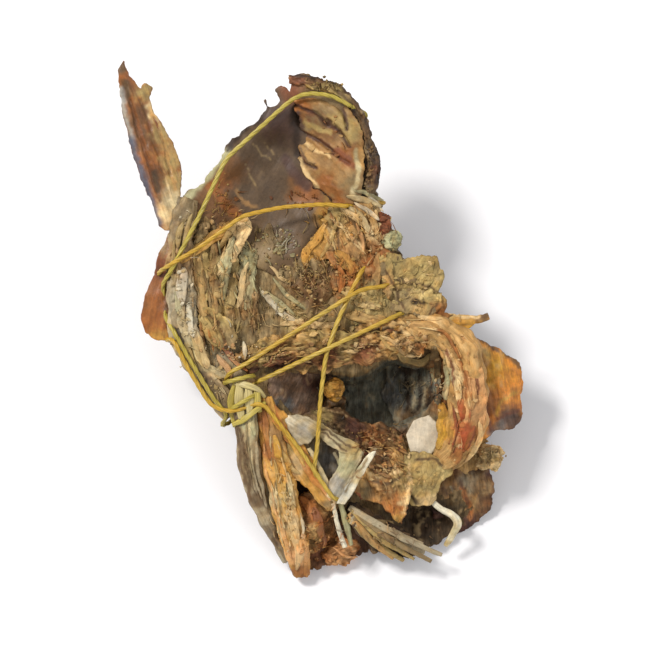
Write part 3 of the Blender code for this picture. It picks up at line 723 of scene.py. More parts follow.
# %% The skull and gill case
# Outlines are (a, b) points, and heights and depths are given at (a, b) spots.
TRUNK = [
    (-62, 57), (-70, 40), (-73, 22), (-72, 4), (-68, -9), (-60, -24), (-50, -38),
    (-41, -50), (-38, -66), (-33, -82), (-25, -98), (-17, -112), (-8, -118), (3, -115),
    (14, -111), (30, -110), (46, -110), (59, -103), (67, -94), (72, -82), (76, -66),
    (77, -50), (75, -33), (72, -16), (65, -3), (56, 5), (51, 16), (48, 27), (40, 30),
    (33, 40), (28, 50), (24, 60), (2, 66), (-28, 66), (-48, 64),
]
TRUNK_FRONT = [
    (-64, 48, 1), (-66, 10, 2), (-50, -26, 3), (-36, -66, -5), (-14, -108, -12),
    (-20, 52, -6), (10, 50, -3), (-38, 26, 2), (-8, 22, 6), (18, 16, 7), (-24, -6, 4),
    (30, 0, 5), (44, 18, 0), (52, 22, -3), (66, -20, -3), (72, -50, -8), (60, -80, -14),
    (18, -64, -6), (-10, -72, -10), (42, -72, -8), (16, -96, -16), (50, -98, -18),
]
TRUNK_DEPTH = [
    (-60, 50, 20), (20, 52, 32), (-20, 50, 44), (-10, 20, 58), (28, 16, 56), (-34, 10, 56),
    (0, -20, 50), (40, -30, 42), (-50, -10, 38), (-20, -60, 30), (30, -70, 28), (0, -100, 14),
    (50, -98, 14), (-30, -95, 10),
]
MOUTH = [
    (-22, -25), (-12, -22), (2, -23), (18, -24), (26, -18), (34, -16), (42, -20),
    (51, -22), (53, -33), (49, -43), (40, -49), (33, -54), (16, -53), (6, -48),
    (-4, -45), (-14, -46), (-20, -39),
]
JAW_GAP = [(41, -88), (52, -88), (60, -93), (60, -101), (53, -104), (44, -101), (39, -95)]
STRUT_GAP = [(-2, -57), (5, -60), (8, -68), (5, -75), (0, -72), (-2, -64)]
FLESH_GAP = [(-17, -74), (-9, -77), (-4, -84), (-12, -84), (-16, -80)]
# Each hole with how deep it is sunk.
PITS = ((MOUTH, 31.0), (JAW_GAP, 14.0), (STRUT_GAP, 3.0), (FLESH_GAP, 7.0))
PIT_WALL = 7.0
WALL_THICK = 7.0
LEAST_WALL = 2.4
RIM_DROP = 4
RIM_REACH = 8
HULL_GAP = 4.5
HULL_ROUND = 30.0
HULL_SOFT = 5.0
HULL_LOWEST = 0.3
# The bony corners that the hull rests on.
FEET = ((-34, 14), (30, 18), (42, -76), (-14, -88))
FOOT_DROP = 8.0
FOOT_WIDTH = 13.0
LINING_START = -4
LINING_END = -56
LINING_FADE = 7


def foot_drop(points):
    """How far the hull reaches down at the four bony corners that it lies on."""
    drop = np.zeros(len(points))
    for foot in FEET:
        away = ((points - foot) ** 2).sum(axis=1)
        drop = drop + FOOT_DROP * np.exp(-away / (2 * FOOT_WIDTH**2))
    return drop


def trunk():
    """The bowl: an opened front with pits, and a rounded skin hull behind."""

    def heights(points, distance):
        """The opened front and the hull at each point."""
        flat = np.column_stack([points, points[:, 0] * 0])
        middle = blended(TRUNK_FRONT, points) + 1.5 * lumps(flat, 12)
        front = middle - RIM_DROP * (1 - smoothstep(distance / RIM_REACH))
        for outline, deep in PITS:
            edge = rounded(outline, COARSE_EDGE, closed=True)
            sunk = np.where(inside(points, edge), edge_distance(points, edge), 0)
            front = front - deep * smoothstep(sunk / PIT_WALL)
        bulge = np.sqrt(1 - (1 - np.clip(distance / HULL_ROUND, 0, 1)) ** 2)
        back = middle - WALL_THICK - blended(TRUNK_DEPTH, points) * bulge
        back = back + 2.5 * lumps(flat + 50, 18)
        stop = table_height(points, HULL_GAP - foot_drop(points))
        back = (back + stop + np.sqrt((back - stop) ** 2 + HULL_SOFT**2)) / 2
        back = np.maximum(back, table_height(points, HULL_LOWEST))
        return np.maximum(front, back + LEAST_WALL), back

    return pad(TRUNK, heights, "olive", rag=1.5, seed=1)


bowl = painted(roughened(trunk(), 0.9, fibre=(14, 2.6), grit=3.4, share=0.4, flake=0.5, seed=1), [
    (-66, 20, 8, "grey bone"), (-56, 20, 8, "tan"), (-46, 20, 8, "olive"), (-30, 44, 9, "membrane"),
    (-16, 42, 9, "membrane"), (-36, 34, 6, "sage"), (-20, 25, 9, "olive"), (-6, 20, 10, "nut"),
    (0, 42, 8, "ochre"), (14, 40, 8, "tan"), (10, 20, 6, "rust"), (22, 30, 7, "rust"),
    (20, 8, 8, "paper"), (-34, 0, 7, "olive"), (-48, 0, 7, "khaki"), (-8, -2, 8, "khaki"),
    (3, -66, 6, "fin grey"), (-48, -22, 8, "grey bone"), (66, -30, 14, "rust"),
    (60, -60, 14, "tan"), (20, -62, 12, "maroon"), (45, -70, 12, "khaki"),
    (-10, -100, 14, "red brown"), (10, -110, 14, "maroon"), (48, -94, 16, "shadow"),
    (-40, -60, 10, "grey bone"), (30, -50, 9, "red brown"), (-12, -80, 6, "shadow"),
], under="skin")
depth = smoothstep((LINING_START - bowl.verts[:, 2]) / LINING_FADE) * ~bowl.under
depth *= smoothstep((bowl.verts[:, 1] - LINING_END) / LINING_FADE)
lining = np.where(bowl.verts[:, :1] < 4, TONES["slate brown"], TONES["slate light"])
bowl = bowl._replace(tone=bowl.tone + depth[:, None] * (lining - bowl.tone))
piece("skull_bowl", bowl, throat_tissue, hull=outer_skin)

# %% [markdown]
# ## The cut nape
# Above the throat the belly wall is left on: a thin dark lining on its left half and a slab
# of rib flesh on its right half, whose muscle blocks dried into rusty slanting seams. The
# skin behind curls over the flesh as a dark rim.

# %% The lining of the nape
NAPE = [
    (-66, 58), (-60, 63), (-54, 70), (-48, 77), (-44, 84), (-38, 90), (-31, 94), (-28, 98),
    (-27.5, 104), (-25, 101), (-20, 103), (-23, 109), (-19, 111), (-16, 108), (-15, 115),
    (-10, 116), (-2, 113), (5, 110), (11, 107), (15, 101), (19, 94), (22, 85), (25, 76),
    (25, 65), (23, 58), (24, 48), (6, 42), (-3, 38), (-6, 31), (-13, 25), (-22, 22), (-31, 25),
    (-37, 32), (-41, 42), (-58, 45),
]
NAPE_SPOTS = [
    (-62, 58, 4), (-46, 77, 8), (-26, 97, 11), (-12, 112, 12), (6, 107, 10),
    (20, 90, 8), (25, 68, 4), (-22, 78, -5), (-18, 60, -6), (-5, 94, 0), (8, 70, 0),
    (-38, 62, -2), (10, 46, -3), (-30, 46, -4), (-55, 48, 1), (-24, 28, 3.4), (-10, 31, 4.6),
    (-36, 38, 2.4),
]
nape = roughened(sheet(NAPE, NAPE_SPOTS, "membrane", thick=3.4, rag=0.9, seed=2, grain=60),
                 0.3, fibre=(18, 3), grit=5, seed=2)
piece("nape_lining", painted(nape, [
    (-54, 58, 7, "nut"), (-48, 66, 5, "rust"), (-43, 72, 6, "nut"), (-36, 84, 7, "membrane"),
    (-30, 66, 10, "membrane"), (-20, 92, 8, "mauve"), (-28, 78, 10, "membrane"), (-14, 64, 4, "nut"),
    (-22, 60, 5, "membrane"), (-48, 52, 6, "nut"), (-14, 111, 6, "red brown"), (-4, 111, 7, "olive"),
    (6, 107, 6, "olive"), (-8, 60, 5, "rust"), (4, 50, 6, "ochre"), (-38, 62, 5, "membrane"),
    (-16, 48, 8, "membrane"), (-28, 34, 7, "olive"), (-20, 28, 6, "umber"), (-32, 42, 6, "umber"),
    (-14, 36, 5, "umber"), (-22, 40, 4, "umber"),
], [
    ("sage", 3.0, [(-66, 57), (-58, 65), (-50, 74), (-46, 80)]),
    # Painted shade: the shadow stroke along the top-left edge, and the shadow and mauve strokes where the
    # rib flesh lies over the lining.
    ("shadow", 1.8, [(-46, 81), (-38, 90), (-30, 95), (-26, 102)]),
    ("shadow", 3.4, [(-14, 98), (-12.5, 90), (-12.5, 80)]),
    ("mauve", 4.0, [(-18, 76), (-14, 70), (-8, 64)]),
    ("rust", 3.0, [(-53, 64), (-47, 56), (-41, 50)]),
    ("buff", 1.2, [(-41, 62), (-38, 57), (-32, 54)]),
    ("olive", 0.5, [(-34, 84), (-30, 79), (-25, 76)]),
    ("olive", 0.4, [(-28, 86), (-27, 82), (-24, 79)]),
    ("olive", 0.4, [(-38, 74), (-35, 68), (-32, 64)]),
], under="skin"), gut_membrane)

# %% The slab of rib flesh
RIB_FLESH = [
    (-14, 104), (-4, 107), (4, 106), (10.5, 102), (16, 94), (19, 84), (19, 71), (17, 57), (6, 55),
    (-2, 60), (-8, 68), (-12.5, 80), (-10, 88), (-12, 96),
]
RIB_SPOTS = [(-13, 100, 9), (-12, 84, 1), (-4, 66, 1), (10, 58, 4), (17, 70, 7), (14, 94, 11), (2, 84, 5)]
SEAMS = [
    [(-14, 102), (-8, 99), (-3, 97), (2, 92), (6, 90)],
    [(-12, 89), (-5, 86.5), (1, 83), (6, 78), (12, 74)],
    [(-13, 80.5), (-9, 75), (-4, 72)],
    [(-9, 67), (-3, 62), (3, 57)],
    [(4, 104), (9, 98), (11, 90)],
    [(2, 94), (8, 88), (12, 82)],
]
flesh = roughened(
    sheet(RIB_FLESH, RIB_SPOTS, "buff", thick=6, rag=0.8, seed=3, wave=2.6, grain=-40, rim=2.0, step=0.7),
    0.4, fibre=(20, 7), grit=5, share=0.75, flake=0.35, seed=3)
flesh = carved(flesh, 1.3, 1.5, *SEAMS)
piece("rib_flesh", painted(flesh, [
    (-10, 100, 4.5, "rust"), (-5, 96, 3, "red brown"), (2, 99, 5, "olive"), (-7, 92, 4, "olive"),
    (0, 88, 4, "nut"), (7, 93, 4, "khaki"), (-4, 84, 4, "buff"), (6, 84, 4, "buff"),
    (11, 78, 4, "rust"), (13, 90, 4, "khaki"), (-6, 76, 4, "tan"), (1, 74, 4, "buff"),
    (1, 66, 4.5, "rust"), (7, 68, 4, "buff"), (12, 64, 5, "olive"), (8, 60, 4, "rust"),
    (16, 76, 4, "tan"), (14, 100, 4, "buff"),
], [
    *[("maroon", 1.3, seam) for seam in SEAMS],
    ("red brown", 3.0, [(6, 80), (11, 76), (14, 73)]),
    ("cream", 1.4, [(-12, 77), (-9, 70), (-3, 63.5)]),
    ("cream", 1.2, [(-9, 84.5), (-4, 81), (3, 77)]),
    ("khaki", 1.8, [(-9, 94), (-4, 91), (2, 89)]),
    ("bone", 1.6, [(15, 80), (16, 70), (14, 60)]),
    ("mauve", 2.0, [(-12, 97), (-10.5, 90)]),
    ("umber", 0.8, [(-11, 82), (-9, 77), (-4, 74)]),
], under="skin"), rib_muscle)

# %% The curled rim of skin
RIM = [
    (-16, 113.5, 12, 1.8), (-8, 113, 12, 2.8), (2, 110, 11, 3.0), (10, 105.5, 11, 2.4),
    (16, 98, 10, 1.9), (20, 88, 9, 1.8), (22.5, 78, 8, 3.2), (23, 69.5, 6, 3.6), (21.5, 61, 4, 2.8),
]
rim = roughened(rod(RIM, "olive", flat=0.8, bumps=0.5, seed=4, step=0.7),
                1.0, fibre=(4, 1.8), grit=2.4, share=0.4, flake=0.6, seed=4)
piece("nape_rim", painted(rim, [
    (-12, 112, 5, "red brown"), (-3, 112, 5, "nut"), (6, 108, 5, "khaki"), (13, 99, 5, "umber"),
    (19, 88, 6, "umber"), (22, 78, 4, "skin"), (22, 71, 4, "red brown"), (22, 65, 4, "umber"),
], [
    ("shadow", 1.6, [(-16, 116), (-4, 114.5), (5, 111.5), (12, 107), (19, 98), (23, 88)]),
    ("shadow", 1.4, [(12, 101), (16, 92), (18, 80)]),
    ("shadow", 2.2, [(25, 83), (27, 74), (25, 66)]),
    ("khaki", 1.4, [(-8, 110), (2, 107), (9, 102)]),
    ("olive", 1.0, [(19, 84), (21, 76), (20, 68)]),
]), outer_skin)

# %% [markdown]
# ## The fin and the shoulder
# One breast fin stands up like a blade, its rays rusty in the middle and slate blue along
# the edge. Below it runs the shoulder bone, pale and flat, with a lobe of amber gill skin
# hanging out behind it.

# %% The breast fin
FIN = [
    (-94, 122), (-96, 116), (-95.4, 104), (-93, 92), (-89.6, 77), (-84.4, 64), (-80, 53),
    (-76.5, 44), (-68, 44), (-67, 54), (-67.5, 66), (-68, 75), (-71, 84), (-75, 91),
    (-79, 97), (-82, 103), (-80.5, 110), (-84, 111.5), (-86, 109), (-91, 115),
]
FIN_SPOTS = [(-94, 120, 13), (-92, 100, 11), (-80, 98, 8), (-86, 76, 8), (-70, 76, 5), (-76, 50, 6)]
FIN_RAYS = [
    [(-91, 104), (-87.5, 90), (-82, 72), (-77, 56)],
    [(-86, 104), (-82, 92), (-77.5, 76), (-73, 58)],
    [(-80, 96), (-76, 84), (-72, 68)],
]
fin = roughened(sheet(FIN, FIN_SPOTS, "rust", thick=2.8, seed=5, wave=0.8, grain=108, step=0.7),
                0.5, fibre=(40, 2.2), share=0.8, flake=0.2, seed=5)
fin = carved(fin, 0.7, 1.1, *FIN_RAYS)
piece("breast_fin", painted(fin, [
    (-92, 108, 4, "nut"), (-88, 96, 4, "nut"), (-84, 84, 4, "nut"), (-79, 68, 4, "nut"),
    (-86, 89, 3, "umber"), (-83, 108, 4, "khaki"), (-80, 99, 3.5, "bone"), (-76, 88, 4.5, "khaki"),
    (-72, 77, 4.5, "khaki"), (-69, 66, 4, "khaki"), (-71, 56, 5, "bone"), (-72, 50, 5, "cream"),
    (-94, 120, 3, "umber"),
], [
    ("umber", 2.2, [(-93, 112), (-88, 94), (-83, 78), (-78, 62)]),
    ("rust", 1.8, [(-90.5, 104), (-87, 90), (-81, 72)]),
    ("tan", 1.3, [(-82, 100), (-77, 88), (-72.5, 74), (-69.5, 62)]),
    ("fin grey", 3.0, [(-95.5, 108), (-93.8, 97), (-91, 86)]),
    ("fin blue", 3.8, [(-91.5, 86), (-88, 73), (-83, 59), (-78.5, 46)]),
], under="rust"), amber_skin)

# %% The shoulder bone
SHOULDER = [
    (-64, 58, 7, 4.5), (-67, 46, 7, 5.6), (-67.5, 30, 7, 6), (-67, 14, 7, 6.4),
    (-66, -2, 6, 6.5), (-61, -18, 4, 6.5), (-52, -32, 3, 6), (-43, -44, 2, 5),
]
SHOULDER_CRACKS = [
    [(-72, 24), (-68, 22), (-64, 23)], [(-71, 16), (-66, 15), (-62, 17)], [(-71, 9), (-67, 10), (-63, 8)],
    [(-70, 1), (-66, 0), (-62, 2)], [(-71, 31), (-66, 32), (-63, 30)], [(-67, -8), (-62, -7)],
    [(-68, 38), (-66, 28), (-67, 18)], [(-65, 14), (-64, 4), (-61, -6)],
]
shoulder = roughened(rod(SHOULDER, "grey bone", flat=0.45, bumps=0.25, seed=6, step=0.8),
                     0.7, fibre=(7, 3), flake=0.6, seed=6)
shoulder = carved(shoulder, 0.9, 0.9, *SHOULDER_CRACKS)
piece("shoulder_bone", painted(shoulder, [
    (-62, 56, 7, "olive"), (-66, 44, 7, "olive"), (-68, 30, 8, "buff"), (-67, 14, 7, "grey bone"),
    (-72, 20, 4, "olive"), (-64, 0, 6, "grey bone"), (-60, -14, 6, "khaki"), (-56, -26, 5, "umber"),
    (-50, -34, 6, "olive"), (-44, -40, 5, "umber"), (-50, -22, 4, "cream"),
], [("shadow", 1.8, [(-71, -3), (-68, -6), (-63, -16), (-56, -28)])]), bare_bone)

# %% The lobe of gill skin
GILL_SKIN = [
    (-72, 42), (-78, 31), (-80, 23), (-84, 14), (-86, 4), (-84, -6), (-77, -9),
    (-70, -6), (-68, 10), (-68, 30),
]
GILL_SPOTS = [(-74, 36, 4), (-82, 14, 1), (-82, -4, -2), (-72, 0, 2)]
gill = roughened(sheet(GILL_SKIN, GILL_SPOTS, "rust", thick=3.0, rag=0.5, seed=7, grain=80),
                 0.4, fibre=(14, 2), seed=7)
piece("gill_skin", painted(gill, [
    (-76, 35, 4, "olive"), (-78, 24, 4, "red brown"), (-79, 13, 6, "rust"), (-81, 2, 6, "rust"),
    (-79, -7, 5, "ochre"),
], [("umber", 1.2, [(-74, 28), (-74, 12), (-73, -4)])], under="rust"), amber_skin)

# %% [markdown]
# ## The throat, the mouth's crust and the gill arch
# These are the soft forms under all the loose fibre: folds of the throat that run straight
# down like cloth, a crust along the mouth and the thick arch that closes it on the right.

# %% The folds of the throat
FOLDS = [
    [(-58, 46, 2, 3), (-58, 26, 3, 5), (-55, 6, 3, 5), (-50, -16, 0, 2)],
    [(-46, 48, 0, 3), (-48, 34, 3, 5), (-47, 14, 3, 5), (-43, -8, 0, 2)],
    [(-34, 46, -3, 2), (-36, 32, 2, 4), (-36, 12, 4, 4), (-32, -8, 1, 2)],
    [(6, 56, -2, 4), (12, 40, 1, 7), (15, 22, 3, 7), (14, 2, 3, 5)],
    [(20, 60, 0, 3), (24, 44, 2, 5), (26, 28, 3, 5), (24, 8, 3, 4)],
    [(-16, 40, -4, 4), (-10, 28, 1, 8), (-6, 10, 3, 8), (-12, -10, 2, 5)],
]
folds = joined([rod(path, "olive", flat=0.45, bumps=0.6, seed=20 + i) for i, path in enumerate(FOLDS)])
folds = roughened(folds, 1.3, fibre=(9, 1.6), share=0.45, flake=0.8, seed=8)
piece("throat_folds", painted(folds, [
    (-56, 30, 7, "khaki"), (-54, 8, 7, "khaki"), (-46, 40, 6, "buff"), (-45, 14, 6, "olive"),
    (-35, 30, 6, "sage"), (-36, 6, 7, "buff"), (-10, 30, 8, "olive"), (-4, 16, 8, "nut"),
    (-16, 0, 6, "khaki"), (8, 48, 7, "ochre"), (16, 36, 7, "tan"), (10, 20, 6, "orange"),
    (22, 16, 7, "paper"), (24, 46, 6, "cream"), (26, 32, 6, "rust"), (6, 12, 5, "olive"),
    (-52, -10, 6, "cream"),
], [
    ("shadow", 1.6, [(-52, 38), (-49, 34), (-47, 27)]),
    ("umber", 1.2, [(-60, 28), (-61, 14), (-58, 4)]),
    ("umber", 1.4, [(-52, 20), (-47, 12), (-53, 6)]),
    ("umber", 1.2, [(-44, 24), (-47, 16), (-48, 8)]),
]), gullet_skin)

# %% Soft flaps over the folds
RIGHT_FLAP = [
    (-10, 30), (-6, 38), (-1, 46), (3, 54), (12, 57), (21, 58), (25, 50), (24, 42), (19, 33), (14, 26),
    (6, 24), (1, 29), (-4, 26), (-9, 25),
]
RIGHT_FLAP_SPOTS = [
    (-8, 29, 5.4), (2, 45, 3.6), (12, 56, 3), (24, 50, 3.6), (18, 34, 7), (7, 28, 6.6),
]
LEFT_FLAP = [
    (-36, 49.5), (-34, 45), (-37, 38), (-41, 30), (-46, 23), (-50, 22), (-49, 29), (-45, 37),
    (-42, 44), (-41, 48),
]
LEFT_FLAP_SPOTS = [(-37, 48, 4.6), (-40, 40, 7), (-48, 26, 7.6)]
LOW_FLAP = [(-57, 7), (-49, 4), (-43, -1), (-40, -8), (-45, -13), (-53, -10), (-58, -2)]
LOW_FLAP_SPOTS = [(-56, 3, 6.6), (-48, -3, 7), (-44, -9, 6)]
flaps = roughened(joined([
    sheet(RIGHT_FLAP, RIGHT_FLAP_SPOTS, "tan",
          thick=2.4, rag=1.3, seed=16, wave=2.4, grain=120, rim=0.7, step=0.8),
    sheet(LEFT_FLAP, LEFT_FLAP_SPOTS, "cream",
          thick=2.2, seed=17, grain=60, rim=0.7, step=0.8),
    sheet(LOW_FLAP, LOW_FLAP_SPOTS, "khaki",
          thick=2.2, rag=0.8, seed=18, wave=1.2, grain=120, rim=0.7, step=0.8),
]), 0.6, fibre=(12, 2.6), flake=0.5, seed=35)
piece("throat_flaps", painted(flaps, [
    (-7, 31, 5, "ochre"), (-1, 41, 4, "ochre"), (5, 51, 5, "khaki"), (13, 51, 5, "buff"), (21, 47, 4, "tan"),
    (9, 38, 5, "tan"), (16, 35, 4, "buff"), (6, 29, 5, "rust"), (13, 29, 4, "buff"), (-38, 46, 3, "cream"),
    (-47, 27, 3, "sage"), (-51, -1, 4, "khaki"), (-44, -8, 4, "olive"), (-55, -6, 3, "tan"),
], [
    ("umber", 1.1, [(2, 52), (6, 44), (7, 36), (7, 27)]),
    ("umber", 1.0, [(12, 53), (15, 45), (20, 38)]),
    # The cream strokes are the pale dried edges of the flap, painted as a highlight too.
    ("cream", 1.2, [(0, 47), (4, 41), (5, 34)]),
    ("cream", 1.1, [(7, 46), (12, 42), (16, 37), (20, 32)]),
    ("olive", 0.9, [(-39, 45), (-43, 36), (-47, 27)]),
    ("nut", 1.0, [(-54, 3), (-50, -1), (-47, -9)]),
], under="umber"), gullet_skin)

# %% The crust above the mouth
LIP = [
    (-40, -20, 4, 5), (-26, -16, 5, 6), (-10, -13, 6, 7.5), (8, -13, 7, 8),
    (24, -10, 7, 8), (38, -7, 6, 8), (48, -10, 6, 7),
]
lip = roughened(rod(LIP, "tan", flat=0.6, bumps=0.7, seed=30, step=0.8),
                1.6, fibre=(5, 1.8), grit=2.6, share=0.3, flake=1.2, seed=9)
piece("mouth_crust", painted(lip, [
    (-36, -22, 5, "maroon"), (-25, -23, 4, "maroon"), (-28, -15, 5, "paper"), (-12, -12, 6, "tan"),
    (0, -17, 5, "red brown"), (10, -10, 6, "khaki"), (20, -15, 5, "red brown"), (30, -6, 7, "tan"),
    (40, -8, 6, "cream"), (48, -12, 5, "rust"), (-4, -8, 5, "khaki"), (-16, -20, 5, "maroon"),
], [
    ("shadow", 1.5, [(22, -4), (30, -3), (37, -5)]),
    ("shadow", 1.4, [(8, -2), (14, -1), (20, 0)]),
    ("maroon", 2.0, [(-34, -23), (-20, -21), (-6, -19)]),
]), throat_tissue)

# %% The gill arch
ARCH = [
    (34, -2, 4, 5), (46, -3, 6, 7), (58, -7, 8, 8.5), (65, -16, 9, 9), (68, -30, 8, 9),
    (67, -45, 7, 9), (63, -58, 4, 8), (57, -66, 0, 6), (51, -72, -4, 4),
]
arch = roughened(rod(ARCH, "tan", flat=0.6, bumps=0.3, seed=31),
                 0.9, fibre=(18, 3), share=0.6, flake=0.4, seed=10)
piece("gill_arch", painted(arch, [
    (62, -22, 6, "tan"), (66, -52, 5, "blood"), (73, -40, 6, "peach"), (56, -50, 5, "ochre"),
    (54, -66, 7, "tan"), (54, -70, 6, "buff"), (40, -4, 6, "tan"),
]), gullet_skin)

# %% The papery tab and its spur
TAB = [
    (26, 30), (30, 31.5), (36, 31), (37, 29), (46, 30.5), (53, 30), (54, 25), (57, 20), (55, 14),
    (58, 9), (57, 4), (61, 3), (54, -2), (44, -3), (36, 0), (31, 8), (28, 18),
]
TAB_SPOTS = [(30, 30, 6), (52, 28, 8), (56, 12, 6), (34, 6, 6), (46, 0, 7), (42, 16, 4)]
TAB_LAYERS = [
    ("khaki", 1.2, [(29, 27), (38, 28.5), (44, 27), (52, 28), (52, 19), (46, 16), (40, 18), (31, 17)]),
    ("paper", 2.2, [(33, 14), (40, 16), (48, 13), (55, 13), (55, 6), (50, 1), (42, 3), (34, 5)]),
    ("paper", 2.7, [(44, 12), (50, 15), (54, 11), (52, 7), (46, 8)]),
    ("tan", 2.6, [(27, 28), (31, 29), (33, 20), (31, 10), (28, 14)]),
]
tab_forms = [sheet(TAB, TAB_SPOTS, "khaki", thick=2.4, rag=1.0, seed=8, wave=1.2, grain=60, sharp=True)]
for lift, (tone, up, outline) in enumerate(TAB_LAYERS):
    raised = [(a, b, d + up) for a, b, d in TAB_SPOTS]
    tab_forms.append(sheet(outline, raised, tone, thick=1.2, rag=1.0, seed=50 + lift, wave=1.5, rim=0.5,
                           grain=60, step=0.7, sharp=True))
tab = roughened(joined(tab_forms), 0.5, fibre=(6, 3), grit=2.4, flake=0.5, seed=11)
piece("skin_tab", painted(tab, [
    (30, 28, 4, "khaki"), (36, 8, 5, "olive"), (44, 3, 4, "tan"), (56, 4, 4, "rust"),
], [
    ("shadow", 1.8, [(42, 9), (47, 8.5)]),
    ("umber", 1.1, [(28, 24), (33, 16), (38, 6)]),
    ("umber", 1.0, [(38, 19), (48, 17), (55, 13)]),
    ("umber", 1.0, [(50, 3), (54, 8)]),
], under="olive"), paper_skin)
SPUR = [
    (55, 4), (62, 3), (68, 2.8), (75, 3), (77, 4), (78, 1), (75, -0.5), (71, -1), (67.5, -4.5),
    (62, -3), (56, -3),
]
SPUR_SPOTS = [(56, 1, 5.5), (66, 1, 6), (77, 2, 8), (67, -4, 4)]
spur = roughened(sheet(SPUR, SPUR_SPOTS, "ochre", thick=2.6, rag=0.3, seed=60, wave=0.4, rim=0.8, grain=4,
                       step=0.6, sharp=True), 0.4, fibre=(9, 1.2), grit=2, seed=12)
piece("spur_bone", painted(spur, [(76, 2, 3, "umber"), (58, 2, 3, "khaki")], [
    ("cream", 1.2, [(58, 3), (66, 2.4), (73, 2)]), ("gold", 1.4, [(62, -2), (68, -3), (71, -1)]),
]), bare_bone)

# %% The cheek and the skin below it
CHEEK = [
    (62, 2), (68, -6), (77, -10), (87, -16), (93, -20), (95, -27), (94, -36),
    (95, -44), (91, -51), (83, -52), (76, -56), (70, -48), (66, -25),
]
CHEEK_SPOTS = [(68, -8, -4), (92, -24, -9), (92, -46, -13), (76, -52, -12), (80, -30, -5)]
cheek = roughened(sheet(CHEEK, CHEEK_SPOTS, "amber", thick=4.0, rag=0.7, seed=9, wave=1.6, grain=100),
                  0.7, fibre=(12, 2.6), flake=0.3, seed=13)
piece("cheek", painted(cheek, [
    (80, -24, 6, "gold"), (88, -32, 5, "amber"), (78, -40, 5, "rust"), (90, -48, 5, "mauve"),
    (85, -50, 4, "slate"), (94, -41, 2.4, "orange"), (73, -18, 4, "khaki"),
], [
    # The umber stroke along the top edge is painted shade.
    ("umber", 1.6, [(66, -4), (77, -10.5), (88, -17), (93, -21)]),
    ("gold", 1.3, [(82, -44), (85, -38), (92, -34)]),
    ("red brown", 1.6, [(77, -34), (77, -44), (80, -52)]),
    ("red brown", 1.2, [(82, -46), (88, -45), (93, -43)]),
], under="skin"), amber_skin)
JAW_SKIN = [
    (54, -72), (66, -67), (78, -70), (81, -78), (79, -90), (70, -99), (60, -102), (52, -90),
]
JAW_SPOTS = [(56, -76, -14), (78, -72, -16), (74, -92, -20), (60, -98, -20)]
jaw_skin = roughened(sheet(JAW_SKIN, JAW_SPOTS, "maroon", thick=4.4, rag=0.8, seed=10, wave=2, grain=100),
                     0.8, fibre=(10, 2.4), flake=0.3, seed=14)
piece("jaw_skin", painted(jaw_skin, [
    (74, -80, 6, "buff"), (60, -78, 5, "buff"), (76, -90, 5, "nut"), (66, -86, 6, "tan"),
    (70, -78, 5, "grey bone"),
], [
    ("orange", 1.8, [(66, -80), (69, -87), (70, -95)]),
    ("grey bone", 1.1, [(61, -80), (64, -88), (64, -97)]),
], under="skin"), outer_skin)

# %% [markdown]
# ## The inside and the floor of the mouth
# Grey folds line the mouth. Below it lie the tongue's root, the chin and a pale hook of bone,
# torn open so that dark gaps show between them. A plate of bone with straight edges stands
# out palest of all.

# %% The lining of the mouth
LEFT_WALL = [(-24, -20), (-10, -18), (2, -22), (7, -32), (4, -42), (-6, -46), (-18, -45), (-26, -34)]
LEFT_WALL_SPOTS = [(-24, -30, 1), (-12, -30, -6), (0, -30, -16), (6, -34, -24)]
RIGHT_WALL = [(27, -16), (44, -14), (54, -24), (54, -42), (46, -50), (36, -50), (28, -36), (31, -26)]
RIGHT_WALL_SPOTS = [(53, -32, 0), (44, -32, -13), (36, -32, -25), (28, -32, -34)]
walls = roughened(joined([
    sheet(LEFT_WALL, LEFT_WALL_SPOTS, "slate brown", thick=1.6, seed=65, wave=1.4, grain=70),
    sheet(RIGHT_WALL, RIGHT_WALL_SPOTS, "slate light", thick=1.6, rag=0.8, seed=66, wave=1.6, grain=92),
]), 0.9, fibre=(10, 2), flake=0.4, seed=34)
piece("mouth_walls", painted(walls, [
    (-18, -30, 5, "slate brown"), (-6, -30, 4, "maroon"), (0, -38, 4, "umber"), (32, -34, 6, "slate"),
    (44, -30, 4, "slate light"), (50, -36, 4, "umber"), (40, -44, 4, "umber"), (-20, -40, 4, "slate"),
    (38, -22, 4, "shadow"),
], [
    ("slate light", 1.0, [(36, -26), (37, -32), (38, -38)]),
    ("shadow", 1.4, [(39, -24), (40, -33), (40, -42)]),
    ("grey bone", 0.9, [(42, -27), (42.5, -34), (42, -41)]),
    ("shadow", 1.4, [(45, -22), (45.5, -32), (45, -42)]),
    ("grey bone", 0.8, [(48, -27), (48, -34), (48, -40)]),
    ("shadow", 1.2, [(51, -24), (51, -34), (50, -42)]),
]), throat_tissue)

# %% Lower lip, tongue and chin
LOWER_LIP = [
    (-6, -45, -8, 3), (8, -47, -7, 5), (19, -54, -5, 6), (33, -58, -4, 6), (44, -68, -4, 4),
]
low_lip = roughened(rod(LOWER_LIP, "umber", flat=0.6, bumps=0.4, seed=32, step=0.8),
                    1.3, fibre=(4, 1.2), grit=1.8, share=0.25, flake=1.0, seed=15)
piece("mouth_floor", painted(low_lip, [
    (-2, -46, 4, "khaki"), (6, -50, 4, "umber"), (14, -50, 4, "maroon"), (24, -55, 5, "rust"),
    (34, -58, 4, "buff"), (44, -66, 5, "khaki"),
]), throat_tissue)
TONGUE = [
    (14, -63), (28, -60), (38, -61), (42, -72), (40, -84), (36.5, -96), (31, -91), (25, -85),
    (18, -85), (13, -77),
]
TONGUE_SPOTS = [(16, -66, 1), (38, -63, 0), (39, -84, 0), (35, -94, -3), (28, -76, 3), (18, -82, 0)]
tongue = roughened(
    sheet(TONGUE, TONGUE_SPOTS, "tan", thick=3.6, rag=0.8, seed=11, grain=105, step=0.7, wave=1.6),
    1.0, fibre=(6, 2), grit=2.4, flake=0.9, seed=16)
